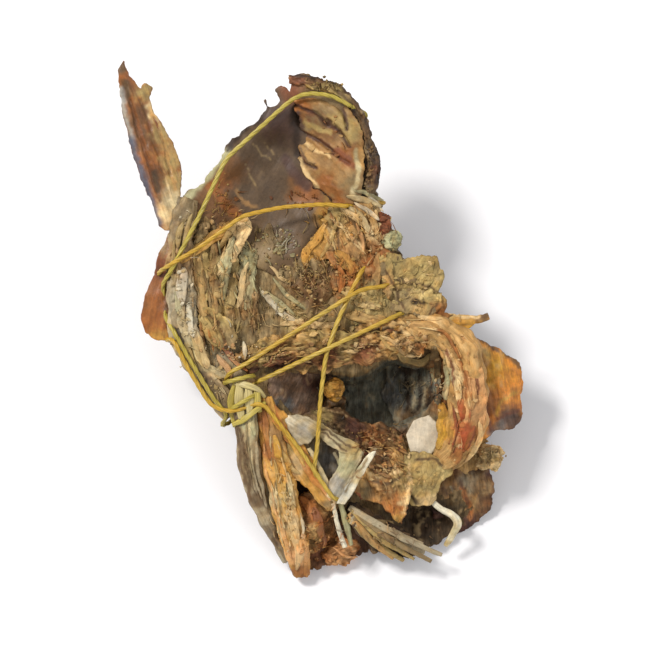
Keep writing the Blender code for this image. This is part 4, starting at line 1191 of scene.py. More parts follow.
piece("tongue_root", painted(tongue, [
    (18, -72, 5, "tan"), (24, -66, 5, "umber"), (32, -66, 4, "tan"), (27, -78, 5, "buff"),
    (32, -87, 5, "orange"), (20, -80, 4, "olive"),
    (39, -74, 4, "khaki"), (35, -93, 3, "ochre"), (38, -86, 3, "cream"),
], [
    ("umber", 1.3, [(20, -68), (27, -70), (34, -68)]),
    ("cream", 1.2, [(19, -71), (27, -73), (35, -71)]),
    ("umber", 1.2, [(22, -75), (30, -76), (36, -74)]),
    ("cream", 1.1, [(39, -70), (39.5, -80), (38, -90)]),
], under="red brown"), dried_muscle)
CHIN = [(38, -63), (48, -62), (56, -66), (61, -71), (55, -77), (53, -86), (47, -88), (42, -87), (39, -78)]
CHIN_SPOTS = [(40, -64, 1), (56, -67, 4.4), (59, -71, 2), (52, -84, -3), (43, -84, -3), (48, -73, 5)]
chin = roughened(sheet(CHIN, CHIN_SPOTS, "khaki", thick=3.8, seed=12, grain=70, step=0.7),
                 0.5, fibre=(9, 3), flake=0.3, seed=17)
piece("chin", painted(chin, [
    (46, -72, 6, "khaki"), (52, -76, 5, "khaki"), (56, -70, 4, "paper"), (50, -85, 4, "cream"),
], [
    ("shadow", 1.6, [(41, -83), (44, -86)]),
    ("umber", 1.1, [(44, -65), (52, -65), (56, -69)]),
    ("cream", 1.2, [(40, -68), (40.5, -76), (41, -82)]),
], under="umber"), paper_skin)
CHIN_HOOK = [
    (50, -84, -4, 1.4), (55, -88.5, -4, 1.5), (61, -92, -5, 1.9), (63.5, -96, -6, 2.0),
    (61.5, -101, -8, 1.7), (58, -107, -10, 1.0),
]
hook = roughened(rod(CHIN_HOOK, "chalk", flat=0.7, bumps=0.2, seed=61, step=0.5),
                 0.3, fibre=(9, 1), seed=18)
piece("chin_hook", painted(hook, [(62, -97, 4, "bone"), (58, -106, 3, "khaki")]), bare_bone)

# %% The straight-edged plate and the knob in the mouth
PLATE = [(42.5, -47), (50, -44.5), (56.5, -51), (54.5, -59), (50, -64.5), (41.5, -63.5), (39, -54)]
PLATE_SPOTS = [(44, -46, -4), (56, -52, -2), (46, -64, -1)]
plate = roughened(
    sheet(PLATE, PLATE_SPOTS, "shell", thick=2.2, rag=0.15, seed=13, wave=0.5, rim=0.9, step=0.7,
          sharp=True), 0.15, fibre=(6, 5), seed=19)
piece("bone_plate", painted(plate, [(47, -48, 4, "shell"), (46, -58, 6, "shell"), (52, -60, 3, "chalk")], [
    ("olive", 0.8, [(42.5, -47), (50, -44.5), (56.5, -51), (54.5, -59), (50, -64.5)]),
]), gut_membrane)
knob = roughened(joined([
    clod((5, -32, -9), (5, 5, 5), "ochre"),
    rod([(6, -36, -13, 4), (4, -43, -20, 5), (2, -49, -24, 6)], "umber", bumps=0.4, seed=33),
]), 0.8, fibre=(5, 1.5), grit=2.2, flake=0.5, seed=20)
piece("mouth_knob", knob, dried_muscle)

# %% [markdown]
# ## The lower jaw
# The two jaw bones run down to the left, the outer one grey and the inner one wrapped in
# orange gristle. A pale forked bone braces them, and at its tip thin rays fan out.

# %% The jaw bones
OUTER_SHAFT = [
    (-39, -32, 4, 5), (-36.5, -48, 5, 5.6), (-35, -66, 4, 5.4), (-31, -84, 0, 4.4),
    (-24, -100, -6, 3.4), (-17, -114, -13, 2.6),
]
INNER_SHAFT = [
    (-28, -36, 4, 4), (-25, -54, 4, 5.5), (-21, -74, 3, 6.5), (-17, -92, 0, 6.5),
    (-13, -108, -6, 6), (-11, -121, -12, 4),
]
outer = roughened(rod(OUTER_SHAFT, "grey bone", flat=0.7, bumps=0.15, seed=35),
                  0.5, fibre=(20, 1.4), share=0.8, flake=0.2, seed=21)
piece("outer_jaw_bone", painted(outer, [
    (-35, -50, 4, "sage"), (-36, -60, 6, "olive"), (-34, -70, 5, "olive"), (-30, -84, 4, "umber"),
    (-22, -102, 5, "umber"),
], [
    # Painted light: the umber stroke down the left side is painted shade, and the bone stroke along the
    # ridge a painted highlight.
    ("umber", 1.8, [(-42, -40), (-40.5, -54), (-39, -68), (-34, -84)]),
    ("olive", 1.1, [(-33, -46), (-31.5, -60), (-30.5, -72)]),
    ("bone", 1.0, [(-36, -46), (-35, -58), (-33.5, -70)]),
    ("umber", 0.8, [(-38, -54), (-36.5, -66), (-34, -78)]),
]), bare_bone)
inner = roughened(rod(INNER_SHAFT, "ochre", flat=0.6, bumps=0.25, seed=36),
                  0.9, fibre=(18, 1.6), share=0.7, flake=0.4, seed=22)
piece("inner_jaw_bone", painted(inner, [
    (-28, -46, 4, "rust"), (-22, -54, 4, "buff"), (-26, -62, 4, "rust"), (-20, -70, 4, "ochre"),
    (-20, -84, 5, "bone"), (-15, -96, 5, "cream"), (-12, -110, 5, "peach"), (-12, -120, 4, "rust"),
], [("umber", 1.2, [(-23, -76), (-22, -80)])]), bare_bone)
JAW_PLATE = [
    (-29, -38), (-20, -42), (-10, -56), (-3, -69), (4, -80), (8, -86), (2, -89),
    (-7, -80), (-15, -73), (-22, -64), (-27, -52),
]
JAW_PLATE_SPOTS = [(-26, -42, 4), (-12, -60, 2), (4, -84, 1), (-20, -62, 1)]
jaw_plate = roughened(
    sheet(JAW_PLATE, JAW_PLATE_SPOTS, "ochre", thick=2.6, seed=14, grain=-55, step=0.7),
    0.6, fibre=(14, 1.4), flake=0.3, seed=23)
piece("jaw_plate", painted(jaw_plate, [
    (-26, -42, 4, "rust"), (-21, -54, 4, "buff"), (-18, -60, 4, "khaki"), (-8, -74, 4, "ochre"),
    (4, -84, 4, "olive"), (-14, -68, 4, "cream"),
], [("orange", 2.4, [(-25, -42), (-17, -53), (-9, -65), (-3, -75)])], under="umber"), bare_bone)

# %% The forked brace
BRACE_TOP = [
    (-19, -45), (-13, -44), (-6, -46), (1, -49.5), (10, -55), (17, -58), (15, -63), (8, -62),
    (2, -58), (-3, -54), (-6, -57), (-12, -59), (-16, -52),
]
BRACE_LEAF = [
    (8, -57), (16, -57.5), (19, -62), (15, -71), (10, -81), (6, -86), (1.5, -83), (2, -76), (7, -68),
]
BRACE_BLADE = [
    (24.5, -61), (21, -62.5), (16, -69), (11, -77), (6, -86), (10, -86.5), (13, -82), (18, -73),
    (23, -65),
]
brace = joined([
    sheet(BRACE_TOP, [(-16, -48, 3), (0, -52, 5), (14, -60, 5)], "grey bone", thick=2.4, rag=0.4, seed=62,
          wave=0.8, rim=0.8, grain=-32, step=0.6, sharp=True),
    sheet(BRACE_LEAF, [(12, -58, 4.6), (4, -82, 4), (14, -70, 4)], "bone", thick=2.4, rag=0.4, seed=63,
          wave=0.8, rim=0.8, grain=62, step=0.6, sharp=True),
    sheet(BRACE_BLADE, [(24, -62, 8), (14, -74, 8), (8, -86, 6)], "chalk", thick=2.2, rag=0.15, seed=64,
          wave=0.3, rim=0.7, grain=57, step=0.6, sharp=True),
    rod([(-7, -60, 2, 1.0), (-2, -69, 3, 1.2), (2, -79, 3, 1.4)], "bone", flat=0.6, step=0.5),
    rod([(5, -62, -1, 0.8), (8, -70, -1, 1.0), (4, -80, 0, 0.8)], "grey bone", flat=0.6, step=0.5),
])
brace = roughened(brace, 0.45, fibre=(12, 1.2), grit=2.4, flake=0.2, seed=24)
piece("forked_bone", painted(brace, [
    (-12, -50, 5, "grey bone"), (-10, -51, 3, "fin grey"), (-16, -46, 3, "chalk"),
    (-2, -50, 4, "khaki"), (5, -55, 4, "bone"), (13, -61, 4, "khaki"), (10, -68, 4, "sage"),
    (5, -78, 4, "fin grey"), (20, -66, 3, "chalk"), (15, -73, 3, "bone"),
], [
    ("umber", 0.9, [(-2, -50), (6, -55), (13, -60)]),
    ("umber", 0.8, [(-1, -52.5), (5, -57), (10, -61)]),
    ("olive", 1.0, [(20, -65), (15, -72), (10, -80)]),
]), bare_bone)

# %% The rays of the gill cover
RAY_ROOT = (12, -88)
RAY_ENDS = [
    (56, -111), (51, -114), (43, -113), (47, -106), (33, -113), (41, -102), (27, -108), (33, -96),
    (38, -114), (48, -110), (30, -103), (22, -103),
]
RAY_TONES = ("grey bone", "olive", "khaki", "grey bone", "tan", "umber")


def fan_ray(i):
    """One thin ray of the fan, from the common root to its own end."""
    a, b = RAY_ENDS[i]
    root_a, root_b = RAY_ROOT[0] + 0.7 * (i % 4), RAY_ROOT[1] - 0.7 * i
    middle = (0.55 * root_a + 0.45 * a, 0.5 * (root_b + b) - 0.6 * (i % 3), 1.5 - 0.5 * i)
    path = [(root_a, root_b, 2.0, 1.2), (*middle, 1.7), (a, b, -5 - 0.6 * i, 0.8)]
    return rod(path, RAY_TONES[i % 6], flat=0.45, bumps=0.3, roll=12, seed=70 + i, step=0.6)


rays = roughened(joined([
    *[fan_ray(i) for i in range(len(RAY_ENDS))],
    rod([(4.5, -86, 4, 0.9), (6.5, -96, 3, 1.1), (10, -107, 1, 1.3)], "chalk", flat=0.8, step=0.5),
    rod([(8, -86, 2, 1.2), (11, -97, 0, 1.5), (13, -106, -2, 1.0)], "sage", flat=0.8, step=0.5),
]), 0.25, fibre=(9, 0.9), grit=2, seed=25)
piece("gill_rays", rays, bare_bone)
FAN_WEB = [
    (11, -86), (22, -89), (34, -97), (45, -104), (47, -110), (36, -113), (24, -108), (14, -98),
]
FAN_SPOTS = [(14, -90, -2), (34, -100, -7), (46, -108, -12), (28, -106, -10)]
# The web is the skin between the rays, given the shadow tone as painted shade between them.
web = roughened(sheet(FAN_WEB, FAN_SPOTS, "shadow", thick=2.6, rag=1.0, seed=15, grain=-30),
                0.6, fibre=(14, 1.6), flake=0.3, seed=26)
piece("gill_web", painted(web, [(20, -94, 5, "umber"), (44, -108, 5, "umber")], under="skin"), throat_tissue)

# %% Torn lumps of flesh
lumps_of_flesh = roughened(joined([
    clod((-4, -96, -12), (11, 15, 10), "buff"),
    clod((7, -109, -16), (9, 8, 7), "rust"),
    clod((28, 46, 2), (3.5, 5, 4), "red brown"),
    clod((32, 38, 2), (4.5, 4.5, 3.5), "sage"),
    clod((79, -65, -9), (7, 6.5, 6), "cream"),
]), 1.3, fibre=(6, 2), grit=2.6, flake=0.9, seed=27)
piece("flesh_lumps", painted(lumps_of_flesh, [
    (-9, -86, 4, "orange"), (-3, -94, 4, "rust"), (-6, -102, 4, "tan"), (2, -106, 6, "rust"),
    (8, -112, 5, "peach"), (28, 44, 3, "red brown"),
]), throat_tissue)

# %% [markdown]
# ## Strips of tissue
# Over these forms lie torn strips: gristle along the bones, fibre bundles along the arch,
# flaps across the throat. Their routes are given on the face only, and each strip finds its
# own height from a map of what it lies on, so it follows every bump below it.

# %% A map of the ground
REACH = 130
EMPTY = -90.0
CLIFF = 12
OVER_THE_EDGE = 0.5
Ground = namedtuple("Ground", "height tone")


def map_cells(points):
    """The square millimetre of the map that each point lies in."""
    spot = np.clip(np.floor(points[:, :2]).astype(int) + REACH, 0, 2 * REACH - 1)
    return spot[:, 0], spot[:, 1]


def ground_of(forms, first=None):
    """In each square millimetre, the highest point of the forms and its tone."""
    height = np.full((2 * REACH, 2 * REACH), EMPTY) if first is None else first.height.copy()
    tone = np.zeros((2 * REACH, 2 * REACH, 3)) if first is None else first.tone.copy()
    whole = joined(forms)
    rising = np.argsort(whole.verts[:, 2])
    verts, tones = whole.verts[rising], whole.tone[rising]
    above = verts[:, 2] > height[map_cells(verts)]
    cells = map_cells(verts[above])
    height[cells] = verts[above, 2]
    tone[cells] = tones[above]
    padded = np.pad(height, 1, mode="edge")
    size = 2 * REACH
    around = [padded[i : i + size, j : j + size] for i in range(3) for j in range(3)]
    return Ground(np.where(height == EMPTY, np.max(around, axis=0), height), tone)


def felt(ground, points):
    """The height of the ground under (a, b) points; past an edge, the last height before it."""
    found = ground.height[map_cells(points)]
    for i in range(1, len(found)):
        if found[i] < found[i - 1] - CLIFF:
            found[i] = found[i - 1] - OVER_THE_EDGE
    return found


def toned_down(form, ground, share=0.42):
    """The form with its tone drawn towards that of the ground it lies on."""
    below = ground.tone[map_cells(form.verts)]
    known = below.any(axis=1)[:, None]
    return form._replace(tone=np.where(known, form.tone + share * (below - form.tone), form.tone))


print("the ground map covers", 2 * REACH, "mm each way")

# %% Strips, one by one or in bundles
STRIP_THICK = 0.6
STRIP_WANDER = 0.9
STRIP_END = 0.25


def laid(ground, route, tone, width, lift=0.4, roll=0.0, seed=0):
    """A strip that lies on the ground along a route of (a, b) points, thin at both ends."""
    line = rounded(route, ROUTE_STEP, closed=False)
    wander = np.column_stack([line, np.full(len(line), 9.0 * seed)])
    line = line + STRIP_WANDER * np.column_stack([lumps(wander, 6), lumps(wander + 50, 6)])
    height = felt(ground, line)
    level = np.convolve(np.pad(height, 2, mode="edge"), np.full(5, 0.2), mode="valid")
    height = np.maximum(level, height - 1.0) + lift
    share = np.linspace(0, 1, len(line))
    radius = 0.5 * width * np.maximum(STRIP_END, np.sin(math.pi * share) ** 0.4)
    path = np.column_stack([line, height, radius])
    strip = rod(path, tone, flat=STRIP_THICK / width, bumps=0.5, roll=roll, seed=seed, step=0.8)
    return toned_down(strip, ground)


def bundle(ground, route, count, width, tones, seed, long=(0.3, 0.9)):
    """Strips side by side along a route of (a, b, half width) points."""
    rng = np.random.default_rng(seed)
    line = rounded(route, ROUTE_STEP, closed=False)
    ahead = np.gradient(line[:, :2], axis=0)
    ahead /= np.linalg.norm(ahead, axis=1)[:, None]
    across = np.column_stack([ahead[:, 1], -ahead[:, 0]])
    strips = []
    for i in range(count):
        lane = 2 * (i + rng.random()) / count - 1
        share = rng.uniform(*long)
        first = int(rng.uniform(0, 1 - share) * len(line))
        last = max(first + 4, int(first + share * len(line)))
        part = slice(first, last)
        drift = lane + 0.18 * np.sin(np.arange(len(line[part])) / 4 + 9 * rng.random())
        route = line[part, :2] + across[part] * (drift * line[part, 2])[:, None]
        strips.append(laid(ground, route[::2], str(rng.choice(tones)), width * rng.uniform(0.6, 1.3),
                           lift=rng.uniform(-0.1, 0.7), roll=-25 * lane, seed=seed + i))
    return strips


def laid_table(ground, table, seed):
    """The strips of a table, each of a tone, a width, a lift and a route."""
    return [laid(ground, route, tone, width, lift, seed=seed + i)
            for i, (tone, width, lift, route) in enumerate(table)]


def bundle_table(ground, table):
    """The strips of a table of bundles."""
    return [strip for row in table for strip in bundle(ground, *row)]


print("a strip is", STRIP_THICK, "mm thick")

# %% Strips of the throat
# Each strip has a tone, a width, a lift off the ground and a route.
THROAT_STRIPS = [
    ("ochre", 5.0, 0.7, [(-36, 48), (-44, 44.5), (-52, 40), (-60, 33), (-67, 27.5)]),
    ("khaki", 3.4, 1.6, [(-41, 46), (-45, 40), (-49, 34)]),
    ("tan", 6.0, 0.4, [(-59, 36), (-59, 25), (-58, 12), (-56, 2)]),
    ("buff", 5.0, 0.5, [(-52, 38), (-52, 26), (-53, 13), (-51, 3)]),
    ("sage", 4.0, 0.5, [(-43, 40), (-45, 30), (-47, 18), (-47, 10)]),
    ("khaki", 5.0, 0.5, [(-41, 30), (-43, 18), (-44, 6)]),
    ("cream", 3.2, 0.8, [(-36, 28), (-38, 17), (-41, 6)]),
    ("sage", 3.4, 0.6, [(-33, 25), (-35, 14), (-37, 5)]),
    ("khaki", 5.0, 0.6, [(-58, 4), (-54, -4), (-50, -12)]),
    ("rust", 1.8, 1.2, [(-58, 0), (-57, -7), (-55, -14)]),
    ("orange", 1.6, 1.2, [(-55, -4), (-54, -9), (-52, -15)]),
    ("cream", 5.0, 0.4, [(-60, -4), (-58, -14), (-54, -22)]),
    ("chalk", 3.4, 1.0, [(-29, 14), (-24, 8.5), (-19, 3), (-13, 0.5)]),
    ("sage", 2.4, 1.2, [(-26, 14), (-20, 8), (-14, 4)]),
    ("blood", 2.8, 1.2, [(-47, -13), (-43, -17), (-39, -22)]),
    ("orange", 2.0, 1.4, [(-44, -17), (-40, -20), (-36, -23)]),
    ("chalk", 2.4, 1.0, [(-38, -10), (-37, -14), (-36, -17)]),
    ("bone", 5.2, 0.5, [(-58, -20), (-51, -25), (-43, -24)]),
    ("peach", 3.0, 0.9, [(-50, -16), (-46, -21), (-44, -27)]),
    ("khaki", 1.8, 0.9, [(-58, 24), (-60, 19), (-57, 15.5), (-53, 18), (-53, 23), (-57, 25)]),
    ("ochre", 4.0, 0.5, [(1, 46), (-3, 38), (-8, 31), (-9, 26)]),
    ("khaki", 2.2, 0.8, [(8, 50), (4, 43), (2, 36), (-2, 30)]),
    ("cream", 1.6, 1.0, [(6, 46), (11, 42), (15, 37), (20, 31)]),
    ("ochre", 6.0, 0.6, [(6, 33), (12, 26), (18, 20)]),
    ("orange", 3.0, 0.6, [(7, 28), (9, 20), (8, 13)]),
    ("tan", 3.0, 0.7, [(20, 54), (24, 46), (25, 38)]),
    ("cream", 2.0, 0.8, [(-26, 26), (-21, 22), (-17, 18)]),
    ("sage", 2.4, 0.6, [(-24, 20), (-19, 14), (-12, 8), (-6, 4)]),
    ("tan", 4.4, 0.5, [(26, 32), (25, 23), (26, 15)]),
    ("paper", 6.0, 0.4, [(8, 14), (17, 12), (26, 9)]),
    ("cream", 4.0, 0.6, [(14, 10), (20, 8), (27, 6)]),
    ("tan", 5.0, 0.5, [(10, 3), (19, 2), (30, 1)]),
    ("olive", 5.0, 0.4, [(-26, 47), (-24, 39), (-18, 32)]),
    ("cream", 4.0, 0.5, [(-20, -2), (-10, 0), (0, -2), (8, -1)]),
    ("bone", 3.0, 0.9, [(10, 58), (18, 57.5), (27, 54)]),
    ("sage", 2.4, 1.0, [(14, 61), (21, 60), (28, 57)]),
    ("chalk", 2.4, 0.9, [(14, 56), (20, 52.5), (26, 47)]),
    ("cream", 3.0, 0.7, [(9, 53), (16, 50), (22, 43)]),
    ("chalk", 1.8, 1.2, [(19, 59), (24, 56), (28, 51)]),
    ("cream", 3.4, 1.0, [(7, 55), (13, 51), (18, 44)]),
    ("bone", 2.8, 1.2, [(12, 54), (18, 48), (23, 40)]),
    ("peach", 2.0, 1.1, [(15, 47), (18, 39), (19, 31)]),
    ("cream", 1.4, 1.4, [(2, 49), (8, 45), (13, 38)]),
]
# Each bundle has a route with its half width, a number of strips, their width and tones, a
# seed, and how much of the route a strip covers.
THROAT_BUNDLES = [
    ([(-56, 38, 6), (-54, 16, 8), (-50, -8, 7)], 20, 1.1,
     ("khaki", "olive", "tan", "umber", "cream"), 120, (0.1, 0.35)),
    ([(-36, 14, 5), (-35, -8, 6)], 12, 1.2, ("nut", "olive", "umber", "khaki"), 140),
    ([(4, 54, 8), (10, 36, 10), (16, 16, 8)], 18, 1.1,
     ("tan", "rust", "khaki", "ochre", "buff"), 160, (0.1, 0.3)),
    ([(-42, 40, 7), (-38, 24, 8), (-34, 8, 8)], 14, 1.0,
     ("olive", "khaki", "sage", "umber"), 220, (0.1, 0.35)),
    ([(-14, 24, 8), (-4, 16, 8), (2, 6, 8)], 12, 1.1,
     ("nut", "olive", "cream", "khaki"), 180, (0.1, 0.3)),
]
ground = ground_of(shown)
strips = laid_table(ground, THROAT_STRIPS, seed=80)
ground = ground_of(strips, ground)
strips += bundle_table(ground, THROAT_BUNDLES)
piece("throat_strips", roughened(joined(strips), 0.35, fibre=(7, 1.4), grit=2.2, seed=30), gullet_skin)

# %% Strips of the mouth's crust and the arch
ARCH_ROUTE = [
    (38, -2, 4), (48, -3, 6), (58, -7, 7.5), (65, -17, 8.5), (68, -30, 8.5), (67, -45, 8.5),
    (62, -58, 7),
]
ARCH_PANELS = [
    ("olive", 5.0, 0.2, [(52, -9), (53, -20), (53, -34)]),
    ("sage", 4.6, 0.3, [(57, -17), (58.5, -27), (57.5, -37)]),
    ("cream", 6.0, 0.3, [(54, -6), (60, -16), (63, -29), (63, -38)]),
    ("tan", 6.0, 0.4, [(59, -7), (65, -18), (68.5, -32), (69, -42)]),
    ("gold", 6.4, 0.3, [(55.5, -39), (57, -50), (54, -61)]),
    ("blood", 6.6, 0.4, [(63.5, -37), (67, -49), (65.5, -62)]),
    ("peach", 5.4, 0.4, [(65, -8), (71, -20), (74, -34), (75, -48)]),
    ("tan", 4.4, 0.6, [(44, 2), (52, 0.5), (59, -4), (65, -12)]),
    ("cream", 2.8, 0.6, [(74, -46), (72.5, -57), (67, -67)]),
    ("tan", 5.0, 0.3, [(64, -58), (61, -65), (56, -69)]),
    ("orange", 1.6, 0.9, [(50, -1.5), (58, -7), (64, -17)]),
    ("orange", 1.5, 0.9, [(62, -12), (67, -24), (69, -37)]),
    ("peach", 1.5, 1.0, [(60, -38), (62, -50), (60, -61)]),
    ("tan", 3.0, 0.6, [(38, -3), (44, -6), (49, -13)]),
    ("khaki", 3.6, 0.7, [(26, -8), (32, -12), (38, -18), (46, -19), (50, -15)]),
    ("cream", 1.8, 1.1, [(27, -7), (33, -10), (39, -16), (46, -17)]),
]
arch_strips = laid_table(ground, ARCH_PANELS, seed=240)
ground = ground_of(arch_strips, ground)
arch_strips += bundle(ground, ARCH_ROUTE, 7, 0.9, ("tan", "cream", "khaki"), 200, long=(0.15, 0.3))
arch_strips = roughened(joined(arch_strips), 0.3, fibre=(14, 2.2), grit=2.6, flake=0.2, seed=31)
piece("arch_strips", painted(arch_strips, [
    (65, -45, 4, "blood"), (66, -56, 4, "blood"), (63, -63, 3, "rust"), (57, -27, 4, "sage"),
    (72, -30, 4, "peach"), (50, -1, 4, "cream"), (56, -51, 4, "gold"), (62, -30, 4, "cream"),
    (63, -14, 4, "tan"),
], [
    ("olive", 2.6, [(53, -12), (55, -24), (55, -36)]),
    ("cream", 2.4, [(58, -14), (62, -26), (62, -36)]),
    ("rust", 1.8, [(54, -4), (61, -12), (66, -24), (67, -36)]),
    ("red brown", 1.2, [(55, -9), (60, -21), (60, -36)]),
    ("red brown", 1.2, [(68, -12), (72, -26), (72, -44), (69, -60)]),
    ("red brown", 1.4, [(60.5, -38), (63, -50), (61, -62)]),
    ("rust", 1.2, [(66, -40), (69, -52), (66, -64)]),
]), gullet_skin)
CRUST_BUNDLES = [
    ([(-38, -19, 4), (-20, -15, 5), (0, -13, 7), (20, -11, 7), (40, -7, 7), (50, -9, 5)], 26, 2.2,
     ("tan", "red brown", "cream", "umber", "khaki"), 260, (0.06, 0.2)),
    ([(16, -53, 4), (22, -58, 5), (30, -60, 5), (44, -66, 4)], 18, 1.3,
     ("red brown", "maroon", "tan", "cream"), 300, (0.1, 0.35)),
    ([(23, -64, 5), (29, -67, 7), (37, -68, 5)], 20, 1.5,
     ("cream", "peach", "umber", "red brown"), 340, (0.2, 0.5)),
]
crust = roughened(joined(bundle_table(ground, CRUST_BUNDLES)), 0.4, fibre=(4, 0.9), grit=1.8, seed=32)
piece("crust_strips", crust, throat_tissue)

# %% Strips of the bones
BONE_STRIPS = [
    ("rust", 3.0, 0.4, [(-29, -38), (-28, -48), (-26, -60), (-25, -66)]),
    ("gold", 4.0, 0.4, [(-24, -54), (-21, -66), (-20, -78), (-19, -88)]),
    ("peach", 1.5, 0.8, [(-28.5, -58), (-27, -72), (-23.5, -86), (-20.5, -97)]),
    ("khaki", 3.0, 0.4, [(-20, -60), (-16, -68), (-11, -72)]),
    ("bone", 2.4, 0.6, [(-17, -71), (-15.5, -80), (-13.5, -88)]),
    ("cream", 4.0, 0.4, [(-17, -88), (-14, -98), (-12, -108), (-13, -118)]),
    ("chalk", 1.6, 0.7, [(-11, -90), (-9.5, -98), (-10, -103)]),
    ("orange", 3.8, 0.6, [(-26, -42), (-19, -52), (-11, -63), (-5, -74), (3, -84)]),
    ("gold", 2.4, 0.9, [(-23, -48), (-15, -59), (-9, -69)]),
    ("peach", 2.0, 0.5, [(-22, -88), (-19, -100), (-16, -112)]),
    ("sage", 2.4, 0.4, [(-33, -44), (-32, -54)]),
    ("grey bone", 2.4, 0.4, [(-32, -56), (-31, -72), (-27, -88)]),
    ("shell", 5.0, 0.6, [(-66, 25), (-66.5, 16), (-66, 8)]),
    ("chalk", 3.6, 0.8, [(-64, 8), (-63, 0), (-61, -8)]),
    ("bone", 4.6, 0.5, [(-67, 6), (-66, -3), (-63, -12)]),
    ("khaki", 2.4, 0.5, [(-62, 50), (-65, 42), (-66, 34)]),
    ("khaki", 2.0, 0.5, [(-70, 38), (-71, 28), (-71, 16)]),
    ("orange", 4.0, 0.4, [(-11, -84), (-7, -89), (-6, -95)]),
    ("red brown", 4.6, 0.5, [(-4, -88), (-2, -98), (0, -107)]),
    ("peach", 1.4, 0.7, [(4, -108), (10, -112), (16, -112)]),
]
BONE_BUNDLES = [
    ([(-63, 54, 3), (-67, 38, 4), (-68, 20, 4), (-66, 2, 4), (-61, -16, 3), (-52, -31, 3)], 8, 3.0,
     ("olive", "sage", "khaki"), 360, (0.1, 0.3)),
    ([(-25, -52, 4), (-21, -72, 5), (-17, -92, 5), (-13, -112, 4)], 18, 1.5,
     ("cream", "ochre", "khaki", "bone", "tan"), 400, (0.2, 0.6)),
    ([(-38, -46, 3), (-35, -66, 3), (-30, -86, 2)], 7, 1.2, ("grey bone", "olive", "umber"), 430),
]
bone_strips = laid_table(ground, BONE_STRIPS, seed=320)
bone_strips += bundle_table(ground, BONE_BUNDLES)
piece("bone_strips", roughened(joined(bone_strips), 0.35, fibre=(10, 0.9), grit=2, seed=33), bare_bone)

# %% [markdown]
# ## Loose bits
# What makes a dried head look dried is the litter on it: hairs of split fibre, flakes of
# skin that curl off and crumbs of flesh. They are scattered with a seeded hand, thick where
# flesh was torn and thin on bone, in tones that suit the place.

# %% Hairs, flakes and crumbs
# The bare bones that nothing sticks to, as (a, b, radius).
CLEAN = [(48, -55, 10.5), (18, -70, 4), (12, -78, 4), (22, -64, 3), (-10, -50, 8), (2, -53, 5)]
HAIR_POINTS = 7
FLAKE_CORNERS = 7
TOO_DEEP = -40


def hair(ground, rng, start, grain, long, tone):
    """A split fibre that starts at an (a, b) spot and arches a little over the ground."""
    turn = math.radians(grain) + rng.normal() * 0.45
    turn = turn + np.cumsum(rng.normal(size=HAIR_POINTS) * 0.22)
    step = long / HAIR_POINTS
    points = start + np.cumsum(np.column_stack([np.cos(turn), np.sin(turn)]) * step, axis=0)
    share = np.linspace(0, 1, HAIR_POINTS)
    rise = 0.3 + rng.uniform(0.2, 1.6) * np.sin(math.pi * share)
    radius = rng.uniform(0.2, 0.4) * (1.1 - share)
    ends_in_air = felt(ground, points[-1:])[0] < felt(ground, points[:1])[0] - 8
    points = start + (points - start) * (0.35 if ends_in_air else 1.0)
    path = np.column_stack([points, felt(ground, points) + rise, radius])
    return rod(path, tone, flat=0.7, step=max(0.6, long / 14))


def flake(ground, rng, spot, size, tone):
    """A curled scrap of skin, thin and many-cornered, tilted a little off the ground."""
    corners = FLAKE_CORNERS
    turn = 2 * math.pi * (np.arange(corners) + rng.uniform(-0.3, 0.3, corners)) / corners
    reach = size * rng.uniform(0.5, 1.2, corners)
    flat = np.column_stack([np.cos(turn) * reach, np.sin(turn) * reach * rng.uniform(0.4, 0.8)])
    spin = rng.uniform(0, math.pi)
    flat = flat @ np.array([(math.cos(spin), math.sin(spin)), (-math.sin(spin), math.cos(spin))])
    tilt = rng.normal(size=2) * 0.32
    curl = rng.uniform(0.02, 0.14)
    base = felt(ground, spot[None])[0] + 0.35
    rings = [np.zeros((1, 2)), 0.55 * flat, flat]
    top = [np.column_stack([r, r @ tilt + curl * (r**2).sum(axis=1)]) for r in rings]
    low = [top[2] - (0, 0, 0.3), top[0] - (0, 0, 0.35)]
    verts = np.vstack([*top, *low]) + (*spot, base)
    i = np.arange(corners)
    j = (i + 1) % corners
    a, b, c, d = 1, 1 + corners, 1 + 2 * corners, 1 + 3 * corners
    faces = np.vstack([
        np.column_stack([0 * i, a + i, a + j]),
        np.column_stack([a + i, b + i, b + j]),
        np.column_stack([a + i, b + j, a + j]),
        np.column_stack([b + i, c + i, c + j]),
        np.column_stack([b + i, c + j, b + j]),
        np.column_stack([0 * i + d, c + j, c + i]),
    ])
    return form_of(verts, faces, verts.copy(), tone)


def crumb(ground, rng, spot, size, tone):
    """A grain of flesh, half sunk in the ground."""
    verts, faces = SMALL_BALL
    shape = verts * rng.uniform(0.5, 1.2, 3) * size * (1 + 0.3 * rng.normal(size=(len(verts), 1)))
    placed = shape + (*spot, felt(ground, spot[None])[0])
    return form_of(placed, faces, placed.copy(), tone)


def litter(ground, patch, tones, hairs, flakes, crumbs, grain, seed):
    """Loose bits over a patch (a, b, reach across, reach up), none on the clean bones."""
    rng = np.random.default_rng(seed)
    found = []
    for count, kind in ((hairs, "hair"), (flakes, "flake"), (crumbs, "crumb")):
        for _ in range(count):
            spot = np.array(patch[:2]) + rng.normal(size=2) * np.array(patch[2:]) * 0.55
            tone = str(rng.choice(tones))
            kept_clear = any(math.dist(spot, (a, b)) < radius for a, b, radius in CLEAN)
            if kept_clear or felt(ground, spot[None])[0] < TOO_DEEP:
                continue
            if kind == "hair":
                found.append(hair(ground, rng, spot, grain, rng.uniform(2.5, 9), tone))
            elif kind == "flake":
                found.append(flake(ground, rng, spot, rng.uniform(0.7, 1.9), tone))
            else:
                found.append(crumb(ground, rng, spot, rng.uniform(0.35, 0.9), tone))
    return found


